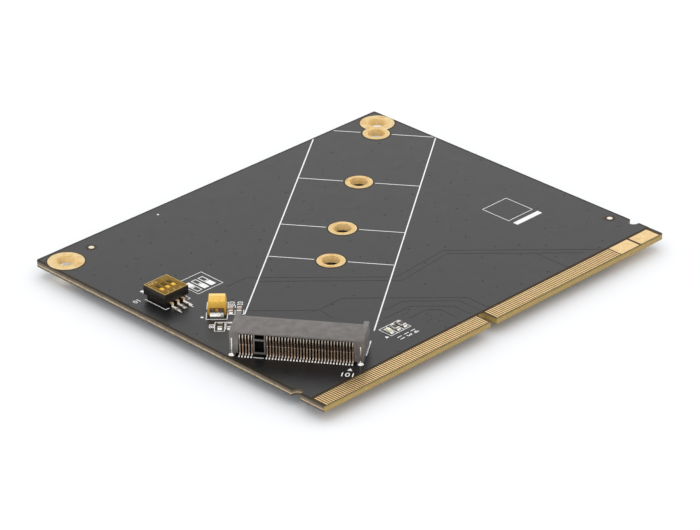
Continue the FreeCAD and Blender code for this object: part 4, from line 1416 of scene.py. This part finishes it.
@dataclass(frozen=True)
class Silkscreen:
    """White printed lines, boxes, markers and plain digits."""

    plan: Plan
    finishes: Finishes
    line: float = 0.22
    thin: float = 0.15
    thickness: float = 0.04
    sunk: float = 0.012
    rise: float = 0.0005
    width: float = 22.0
    inner: float = 2.9
    module_stops: tuple[float, ...] = (30.0, 42.0, 60.0, 80.0)
    last_reach: Point2 = (7.9, 10.6)
    sides: tuple[tuple[int, float, float], ...] = ((1, 9.3, 75.9), (-1, 7.05, 79.7), (-1, -1.34, 3.6))
    key_mark: tuple[Point2, Point2] = ((-4.6, 5.2), (-4.6, 6.9))
    outlines: Routes = (
        ((-37.35, 11.3), (-37.35, 6.17), (-36.5, 6.17)),
        ((-36.09, 3.6), (-36.09, 4.4)), ((-33.51, 3.6), (-33.51, 4.4)),
        ((-32.4, 6.17), (-31.85, 6.17), (-31.85, 7.4)),
        ((-17.56, -26.7), (-13.0, -26.7), (-13.0, -23.85), (-17.56, -23.85), (-17.56, -26.7)),
        ((-16.04, -26.7), (-16.04, -23.85)), ((-14.52, -26.7), (-14.52, -23.85)),
        ((-29.9, 6.3), (-24.3, 6.3), (-24.3, 11.7), (-29.9, 11.7), (-29.9, 6.3)),
        ((25.8, -6.6), (31.9, -6.6), (31.9, -12.8), (25.8, -12.8), (25.8, -6.6)),
    )
    capacitor_turn: float = 45.0
    capacitor_lines: Routes = (
        ((0.6, 1.74), (2.95, 1.74), (2.95, -1.74), (0.6, -1.74)),
        ((-0.6, 1.74), (-2.95, 1.74), (-2.95, -1.74), (-0.6, -1.74)),
        ((0.2, -1.74), (-1.3, -1.74), (-1.3, -2.96), (0.2, -2.96)),
        ((-1.3, -3.14), (-1.3, -4.4), (0.2, -4.4)),
        ((1.0, -1.74), (1.75, -1.74), (1.75, -2.96), (1.0, -2.96)),
        ((-3.88, 0.22), (-6.92, 0.22), (-6.92, -1.42), (-3.88, -1.42), (-3.88, 0.22)),
        ((-6.3, -1.6), (-3.88, -1.6), (-3.88, -3.2), (-5.6, -3.2)),
    )
    bar: tuple[float, float, float, float] = (25.8, -14.9, 32.1, -13.85)
    dots: tuple[Dot, ...] = (Dot(-18.4, -26.5, 0.42, 3), Dot(-30.15, -29.75, 0.5, 3, -54.24),
                             Dot(-15.2, 32.6, 0.2), Dot(-34.94, -0.07, 0.26))
    cell_first: float = -29.42
    cell_step: float = 1.56
    cell_width: float = 1.12
    cell_wall: float = 0.16
    cell_rows: tuple[Point2, Point2] = ((7.0, 8.64), (8.78, 10.42))
    labels: tuple[Label, ...] = (
        Label("01", -38.75, 11.7, 1.05, 0.0),
        Label("03", -28.25, -0.1, 1.0, 225.0), Label("02", -27.3, -1.05, 1.0, 225.0),
        Label("08", -35.9, -3.35, 1.0, 225.0), Label("101", -31.45, -30.5, 1.3, 125.76),
        Label("14", -13.76, -28.2, 1.1, -90.0), Label("13", -15.28, -28.2, 1.1, -90.0),
        Label("11", -16.9, -28.2, 1.1, -90.0),
    )

    def build(self) -> None:
        """Print everything."""
        for name, paths, width in (("silk_module", self.module_lines(), self.line),
                                   ("silk_stops", self.stop_lines(), self.thin),
                                   ("silk_parts", self.part_lines(), self.thin)):
            lay_lines(name, paths, (width, self.thickness), self.finishes.ink, rise=self.rise)
        self.print_filled()
        print_labels("silk_digits", self.labels, self.plan.at(0.0, 0.0, self.level()), self.thickness, "white_ceramic",
                     self.finishes.ink)

    def level(self) -> float:
        """Height of the middle of the ink above the board's top."""
        return self.thickness / 2 - self.sunk

    def module_lines(self) -> list[list[Vector]]:
        """Long lines beside the module's place."""
        height = self.level()
        return [[self.plan.module(u, side * self.width / 2, height) for u in ends] for side, *ends in self.sides]

    def stop_lines(self) -> list[list[Vector]]:
        """Short lines across the module's place at each length, and one under the socket's key."""
        height = self.level()
        paths = []
        for stop in self.module_stops:
            last = stop == self.module_stops[-1]
            for side, reach in zip((1, -1), self.last_reach if last else (self.width / 2,) * 2):
                paths.append([self.plan.module(stop, side * v, height) for v in (self.inner, reach)])
        paths.append([self.plan.module(u, v, height) for u, v in self.key_mark])
        return paths

    def part_lines(self) -> list[list[Vector]]:
        """Outlines of the switch, the capacitor, the small chips and the indicator."""
        height = self.level()
        paths = [[self.plan.at(x, y, height) for x, y in route] for route in self.outlines]
        middle, turn = self.plan.capacitor, self.capacitor_turn
        return paths + [[self.plan.turned(middle, turn, u, v, height) for u, v in route]
                        for route in self.capacitor_lines]

    def print_filled(self) -> None:
        """Print the filled markers: the switch's diagram, the triangles, the dots and a plain bar."""
        shape = bmesh.new()
        low, high = self.level() - self.thickness / 2, self.level() + self.thickness / 2
        for x0, y0, x1, y1 in self.diagram_cells() + [self.bar]:
            block(shape, self.plan.at(x0, y0, low), self.plan.at(x1, y1, high))
        for dot in self.dots:
            place = Matrix.Translation(self.plan.at(dot.x, dot.y, self.level()))
            turn = Matrix.Rotation(math.radians(dot.turn), 4, "Z")
            bmesh.ops.create_cone(shape, cap_ends=True, segments=dot.sides, radius1=dot.radius, radius2=dot.radius,
                                  depth=self.thickness, matrix=Matrix.Scale(MM, 4) @ place @ turn)
        add_piece("silk_filled", shape, "white_ceramic", self.finishes.ink)

    def diagram_cells(self) -> list[tuple[float, float, float, float]]:
        """Filled cells and walls of the switch's diagram, as two corners each."""
        cells = []
        near, far = self.cell_rows
        wall = self.cell_wall
        for index in range(3):
            x0 = self.cell_first + index * self.cell_step
            x1 = x0 + self.cell_width
            filled, (y0, y1) = (far, near) if index == 0 else (near, far)
            cells += [(x0, filled[0], x1, filled[1]),
                      (x0, y0 + wall, x0 + wall, y1 - wall), (x1 - wall, y0 + wall, x1, y1 - wall),
                      (x0, y0, x1, y0 + wall), (x0, y1 - wall, x1, y1)]
        return cells


@dataclass(frozen=True)
class CopperRelief:
    """Traces that show as low ridges under the mask, and the small vias."""

    plan: Plan
    finishes: Finishes
    trace: float = 0.42
    rise: float = 0.0004
    trace_corner: float = 0.6
    loop_corner: float = 1.6
    traces: Routes = (
        ((-24.63, 5.0), (-20.3, 5.0), (-2.4, -12.9), (10.1, -12.0), (29.8, -31.7)),
        ((-19.54, 2.4), (-2.6, -14.5), (9.6, -13.2), (20.5, -24.1), (20.5, -31.4)),
        ((-28.24, -3.3), (-19.9, -11.7), (-14.0, -11.7), (0.8, -26.5), (0.8, -31.4)),
        ((-19.2, -11.7), (-19.8, -15.3)),
        ((20.5, -24.1), (26.2, -29.8)),
    )
    loops: Routes = (
        ((-12.0, -19.6), (-7.7, -19.6), (-0.9, -26.4), (-0.9, -30.9)),
        ((-13.9, -21.7), (-8.1, -21.7), (-2.9, -26.9), (-2.9, -30.6)),
        ((-11.1, -24.4), (-7.0, -24.4), (-5.3, -26.1), (-5.3, -30.4), (-6.6, -31.7)),
    )
    cluster: tuple[Point2, ...] = (
        (-11.03, -23.02), (-10.28, -23.16), (-11.85, -23.98), (-8.14, -25.68), (-8.2, -26.54),
        (-8.91, -27.42), (-9.84, -27.59), (-8.37, -28.75), (-4.47, -29.45),
    )
    cluster_radii: Point2 = (0.22, 0.14)
    margins: Point2 = (4.4, 11.5)
    grid: tuple[int, int] = (15, 12)
    jitter: float = 1.9
    dropped: float = 0.12
    via_radius: float = 0.2
    clear: float = 0.75
    seed: int = 11
    clear_of: tuple[str, ...] = (
        "socket_housing", "switch_base", "switch_cover", "capacitor_body", "chip_capacitor_bodies",
        "chip_resistor_bodies", "led_base", "standoff_plating_30", "standoff_plating_42", "standoff_plating_60",
        "joined_plating", "corner_plating",
    )
    clear_steps: int = 6
    diagram_sides: Point2 = (-29.9, -24.3)
    diagram_rows: tuple[float, ...] = (7.6, 9.0, 10.4)

    def build(self) -> None:
        """Add the ridges and the vias."""
        for name, routes, corner, rise in (("trace_ridges", self.traces, self.trace_corner, self.rise),
                                           ("loop_ridges", self.loops, self.loop_corner, 0.0)):
            paths = [[self.plan.at(x, y) for x, y in route] for route in routes]
            lay_lines(name, paths, (self.trace, 2 * Layer.RELIEF.value), self.finishes.mask,
                      corner, rise)
        self.scattered_vias()
        self.clustered_vias()

    def scattered_vias(self) -> None:
        """Scatter the tented vias clear of parts, rings and ink."""
        keep_out = bpy.data.objects.new("keep_out", path_mesh("keep_out", self.keep_out_paths()))
        bpy.context.scene.collection.objects.link(keep_out)
        wide, deep = (span - margin for span, margin in zip(self.plan.high - self.plan.low, self.margins))
        vias = scatter_tree().grow("tented_vias", {
            "Wide": wide * MM, "Deep": deep * MM, "Across": self.grid[0], "Down": self.grid[1],
            "Height": self.plan.top * MM, "Jitter": self.jitter * MM, "Dropped": self.dropped,
            "Radius": self.via_radius * MM, "Dome": Layer.VIA.value * MM, "Clear": self.clear * MM,
            "Keep Out": keep_out, "Seed": self.seed, "Material": self.finishes.tent})
        bpy.data.objects.remove(keep_out)
        register(vias)

    def clustered_vias(self) -> None:
        """Add the vias that stand close together near the edge contacts."""
        shape = bmesh.new()
        bottom, top = self.cluster_radii
        for x, y in self.cluster:
            bmesh.ops.create_cone(shape, cap_ends=True, segments=12, radius1=bottom, radius2=top,
                                  depth=Layer.VIA.value,
                                  matrix=Matrix.Scale(MM, 4) @ Matrix.Translation(self.plan.at(x, y)))
        add_piece("via_cluster", shape, "board_laminate", self.finishes.tent)

    def keep_out_paths(self) -> list[list[Vector]]:
        """Edges that the vias stay clear of."""
        paths = []
        for node in self.clear_of:
            low, high = (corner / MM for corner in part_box(node))
            for row in range(self.clear_steps + 1):
                y = low.y + (high.y - low.y) * row / self.clear_steps
                paths.append([self.plan.at(low.x, y), self.plan.at(high.x, y)])
        return paths + [[self.plan.at(x, y) for x in self.diagram_sides] for y in self.diagram_rows]


# ---------------------------------------------------------------------------------------------
# Parts on the board

@dataclass(frozen=True)
class Contacts:
    """Gold contacts along the edge, and every flat plating."""

    finishes: Finishes
    edge: float = 0.03
    rings: tuple[str, ...] = ("standoff_plating_30", "standoff_plating_42", "standoff_plating_60", "joined_plating",
                              "corner_plating")

    def build(self) -> None:
        """Dress the platings."""
        softened_node("edge_contacts_top", self.finishes.contact, "gold_plate", self.edge, segments=1)
        softened_node("edge_contacts_bottom", self.finishes.contact_below, "gold_plate", self.edge, segments=1)
        dress_nodes(self.finishes.gold, "power_pads")
        dress_nodes(self.finishes.pale, "fiducials")
        dress_nodes(self.finishes.ring, *self.rings)
        log.info("contacts and platings: %d nodes dressed", len(self.rings) + 4)


@dataclass(frozen=True)
class Socket:
    """The module socket: its moulded body, contacts, weld tabs and joints."""

    plan: Plan
    finishes: Finishes
    edge: float = 0.07
    tab_edge: float = 0.06
    rear: float = -4.0
    mouth: float = 2.6
    skin: float = 0.12
    half_length: float = 9.95
    roof: float = 3.85
    floor: float = 0.45
    pins: int = 38
    pitch: float = 0.5
    first_pin: float = 9.25
    keyed: tuple[int, int] = (5, 8)
    blade: Size3 = (0.14, 0.13, 1.74)
    blade_u: float = -3.96
    blade_height: float = 2.9
    blade_edge: float = 0.02

    def build(self) -> None:
        """Dress the socket."""
        f = self.finishes
        self.housing()
        dress_nodes(f.legs, "socket_upper_contacts", "socket_lower_contacts")
        self.blades()
        softened_node("socket_weld_tabs", f.tin, "tinned_metal", self.tab_edge)
        softened_node("weld_tab_solder", f.solder, "solder", 0.25, segments=4)
        dress_nodes(f.solder, "socket_solder")

    def blades(self) -> None:
        """The edges of the stamped contacts, which stand in the comb at the socket's back."""
        shape = bmesh.new()
        half = Vector(self.blade) / 2
        block(shape, -half, half)
        soften(shape, self.blade_edge, 1)
        part = new_object("blade_pattern", finish_mesh(shape, "blade_pattern"), self.finishes.legs)
        start = self.plan.module(self.blade_u, self.first_pin, self.blade_height)
        step = self.plan.module(0.0, -self.pitch) - self.plan.module(0.0, 0.0)
        row = row_tree().grow("socket_blades", {
            "Part": part, "Count": self.pins, "Start": start * MM, "Step": step * MM, "Gap First": self.keyed[0],
            "Gap Last": self.keyed[1], "Turn": math.atan2(self.plan.along.y, self.plan.along.x),
            "Material": self.finishes.legs})
        bpy.data.objects.remove(part)
        register(row)

    def housing(self) -> None:
        """The moulded body, with painted shade on the faces inside its windows and its mouth."""
        shape = merged_copy("socket_housing")
        for face in shape.faces:
            # faces inside the windows and the mouth take the painted shade
            face.material_index = 1 if self.inside(face.calc_center_median() / MM) else 0
        soften(shape, self.edge, 2, keep=lambda edge: all(face.material_index == 0 for face in edge.link_faces))
        add_piece("socket_housing_dressed", shape, "housing_plastic", self.finishes.housing, self.finishes.cavity_shade,
                  replaces=("socket_housing",))

    def inside(self, point: Vector) -> bool:
        """Whether a point of the body lies inside its windows or its mouth."""
        across = Vector((-self.plan.along.y, self.plan.along.x, 0.0))
        offset = Vector((point.x, point.y, 0.0)) - self.plan.datum
        u, v, h = offset.dot(self.plan.along), offset.dot(across), point.z - self.plan.top
        deep = self.rear + self.skin < u < self.mouth - self.skin
        return deep and abs(v) < self.half_length and self.floor < h < self.roof


@dataclass(frozen=True)
class SlideSwitch:
    """The three-way switch: base, cover, film, knobs and gull-wing pins."""

    plan: Plan
    finishes: Finishes
    edge: float = 0.06
    pitch: float = 1.27
    pad: Size3 = (0.6, 1.15, 0.03)
    pad_out: float = 4.3
    pad_sunk: float = 0.01
    fillet: Size3 = (0.55, 0.8, 0.09)
    fillet_in: float = 0.15
    rim: float = 0.13
    rim_inset: float = 0.14
    print_height: float = 0.012
    film_gap: float = 0.012
    marks: tuple[Label, ...] = (Label("ON", -1.27, 1.95, 0.8, 180.0), Label("3", -1.27, -2.2, 0.7, 180.0),
                                Label("2", 0.0, -2.2, 0.7, 180.0), Label("1", 1.27, -2.2, 0.7, 180.0))

    def build(self) -> None:
        """Dress the switch."""
        f = self.finishes
        softened_node("switch_base", f.switch, "switch_plastic", self.edge)
        self.cover()
        self.film()
        for number in (1, 2, 3):
            softened_node(f"switch_lever_{number}", f.lever, "lever_plastic", self.edge, f"lever_{number}")
            softened_node(f"lever_clip_{number}", f.tin, "tinned_metal", 0.01, f"lever_{number}")
        softened_node("switch_front_terminals", f.pins, "tinned_metal", 0.03)
        softened_node("switch_rear_terminals", f.pins, "tinned_metal", 0.03)
        softened_node("switch_solder", f.solder, "solder", 0.12, segments=3)
        self.pads()
        self.film_print()

    def cover(self) -> None:
        """The cover, whose top is tinted by the adhesive under the film."""
        shape = merged_copy("switch_cover")
        top = max(vertex.co.z for vertex in shape.verts) - self.film_gap * MM
        for face in shape.faces:
            face.material_index = 1 if face.calc_center_median().z > top else 0
        soften(shape, self.edge)
        add_piece("switch_cover_dressed", shape, "switch_plastic", self.finishes.switch, self.finishes.adhesive,
                  replaces=("switch_cover",))

    def film(self) -> None:
        """The film, a hair clear of the cover that carries it."""
        shape = merged_copy("switch_film")
        floor = min(vertex.co.z for vertex in shape.verts) + self.film_gap * MM
        for vertex in shape.verts:
            vertex.co.z = max(vertex.co.z, floor)
        soften(shape, 0.02)
        add_piece("switch_film_dressed", shape, "amber_film", self.finishes.film, replaces=("switch_film",))

    def pads(self) -> None:
        """Tinned pads under the six pins."""
        shape = bmesh.new()
        half, lump = Vector(self.pad) / 2, Vector(self.fillet) / 2
        centre = self.plan.at(self.plan.switch.x, self.plan.switch.y, half.z - self.pad_sunk)
        for side in (-1.0, 1.0):
            for index in (-1, 0, 1):
                middle = centre + Vector((index * self.pitch, side * self.pad_out, 0.0))
                block(shape, middle - half, middle + half)
                foot = middle - Vector((0.0, side * self.fillet_in, 0.0))
                block(shape, foot - lump, foot + lump + Vector((0.0, 0.0, lump.z)))
        soften(shape, 0.04, 3)
        add_piece("switch_pads", shape, "solder", self.finishes.solder)

    def film_print(self) -> None:
        """The film's pale rim and its faint marks."""
        low, high = (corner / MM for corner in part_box("switch_film"))
        inset = Vector((self.rim_inset, self.rim_inset, 0.0))
        (left, front, _), (right, back, level) = low + inset, high - inset
        corners = [Vector((x, y, level)) for x, y in ((left, front), (right, front), (right, back), (left, back),
                                                      (left, front))]
        lay_lines("film_rim", [corners], (self.rim, self.print_height), self.finishes.faint)
        origin = Vector((self.plan.switch.x, self.plan.switch.y, level))
        print_labels("film_marks", self.marks, origin, self.print_height, "amber_film", self.finishes.faint)


@dataclass(frozen=True)
class SmallParts:
    """The capacitor, the chips and the indicator."""

    finishes: Finishes

    def build(self) -> None:
        """Dress them."""
        f = self.finishes
        softened_node("capacitor_body", f.resin, "capacitor_resin", 0.12, segments=3)
        # the terminals carry painted shade above their tinned feet
        softened_node("capacitor_terminals", f.leads_shaded, "tinned_metal", 0.02)
        softened_node("capacitor_solder", f.solder, "solder", 0.15, segments=3)
        softened_node("chip_capacitor_bodies", f.tan, "tan_ceramic", 0.04)
        softened_node("chip_capacitor_caps", f.tin, "tinned_metal", 0.05)
        softened_node("chip_resistor_bodies", f.white, "white_ceramic", 0.02)
        softened_node("chip_resistor_caps", f.tin, "tinned_metal", 0.04)
        softened_node("chip_resistor_coats", f.glaze, "resistor_glaze", 0.02)
        softened_node("chip_solder", f.solder, "solder", 0.08, segments=3)
        softened_node("led_base", f.white, "white_ceramic", 0.03)
        softened_node("led_caps", f.pale, "gold_plate", 0.03)
        softened_node("led_lens", f.lens, "led_resin", 0.08, segments=3)
        softened_node("led_solder", f.solder, "solder", 0.08, segments=3)


# ---------------------------------------------------------------------------------------------
# Camera and light

@dataclass(frozen=True)
class Studio:
    """The camera, a pale floor and an even sky."""

    eye: Size3 = (-0.35594, -0.35777, 0.26778)
    forward: Size3 = (0.62142718, 0.62536269, -0.47196374)
    up: Size3 = (0.33769725, 0.32977182, 0.88159577)
    lens: float = 171.33
    sensor: float = 36.0
    clip: Point2 = (0.01, 50.0)
    sky: tuple[tuple[float, float], ...] = ((0.0, 1.38), (0.38, 1.30), (0.43, 1.12), (0.47, 0.94), (0.52, 0.86),
                                            (0.62, 0.96), (0.8, 1.15), (1.0, 1.35))
    floor_size: float = 4.0
    floor_drop: float = 0.002

    def build(self) -> None:
        """Set the camera, the floor and the sky."""
        self.camera()
        self.floor()
        self.world()
        bpy.context.scene.view_settings.view_transform = "Standard"

    def camera(self) -> None:
        """Place the camera."""
        data = bpy.data.cameras.new("camera")
        data.lens = self.lens
        data.sensor_width = self.sensor
        data.clip_start, data.clip_end = self.clip
        camera = bpy.data.objects.new("camera", data)
        forward, up = Vector(self.forward), Vector(self.up)
        side = forward.cross(up)
        turn = Matrix((side, up, -forward)).transposed().to_4x4()
        camera.matrix_world = Matrix.Translation(Vector(self.eye)) @ turn
        bpy.context.scene.collection.objects.link(camera)
        bpy.context.scene.camera = camera

    def floor(self) -> None:
        """Lay a pale floor that isn't part of the object."""
        shape = bmesh.new()
        bmesh.ops.create_grid(shape, x_segments=1, y_segments=1, size=self.floor_size / 2)
        bmesh.ops.translate(shape, verts=shape.verts, vec=(0.0, 0.0, -self.floor_drop))
        mesh = bpy.data.meshes.new("floor")
        shape.to_mesh(mesh)
        shape.free()
        paper = Finish("pale_floor", (0.90, 0.915, 0.94), (0.915, 0.93, 0.955), 60.0, (0.8, 0.9), 0.0, 1.0).material()
        new_object("floor", mesh, paper)

    def world(self) -> None:
        """Set a pale sky that is brighter towards the horizon."""
        world = bpy.data.worlds.new("sky")
        world.use_nodes = True
        nodes, links = world.node_tree.nodes, world.node_tree.links
        split = nodes.new("ShaderNodeSeparateXYZ")
        links.new(nodes.new("ShaderNodeTexCoord").outputs["Generated"], split.inputs["Vector"])
        ramp = nodes.new("ShaderNodeValToRGB")
        brightest = max(level for _, level in self.sky)
        while len(ramp.color_ramp.elements) < len(self.sky):
            ramp.color_ramp.elements.new(0.5)
        for element, (height, level) in zip(ramp.color_ramp.elements, self.sky):
            element.position = height
            element.color = (level / brightest,) * 3 + (1.0,)
        links.new(split.outputs["Z"], ramp.inputs["Fac"])
        background = nodes["Background"]
        background.inputs["Strength"].default_value = brightest
        links.new(ramp.outputs["Color"], background.inputs["Color"])
        bpy.context.scene.world = world


def main() -> None:
    """Dress the card, add its fine detail and set the studio."""
    logging.basicConfig(level=logging.INFO, format="%(message)s")
    plan = Plan.read()
    finishes = make_finishes(plan)
    for part in (Board(plan, finishes), Silkscreen(plan, finishes), CopperRelief(plan, finishes), Contacts(finishes),
                 Socket(plan, finishes), SlideSwitch(plan, finishes), SmallParts(finishes), Studio()):
        log.info("%s", type(part).__name__)
        part.build()


if __name__ == "__main__":
    main()
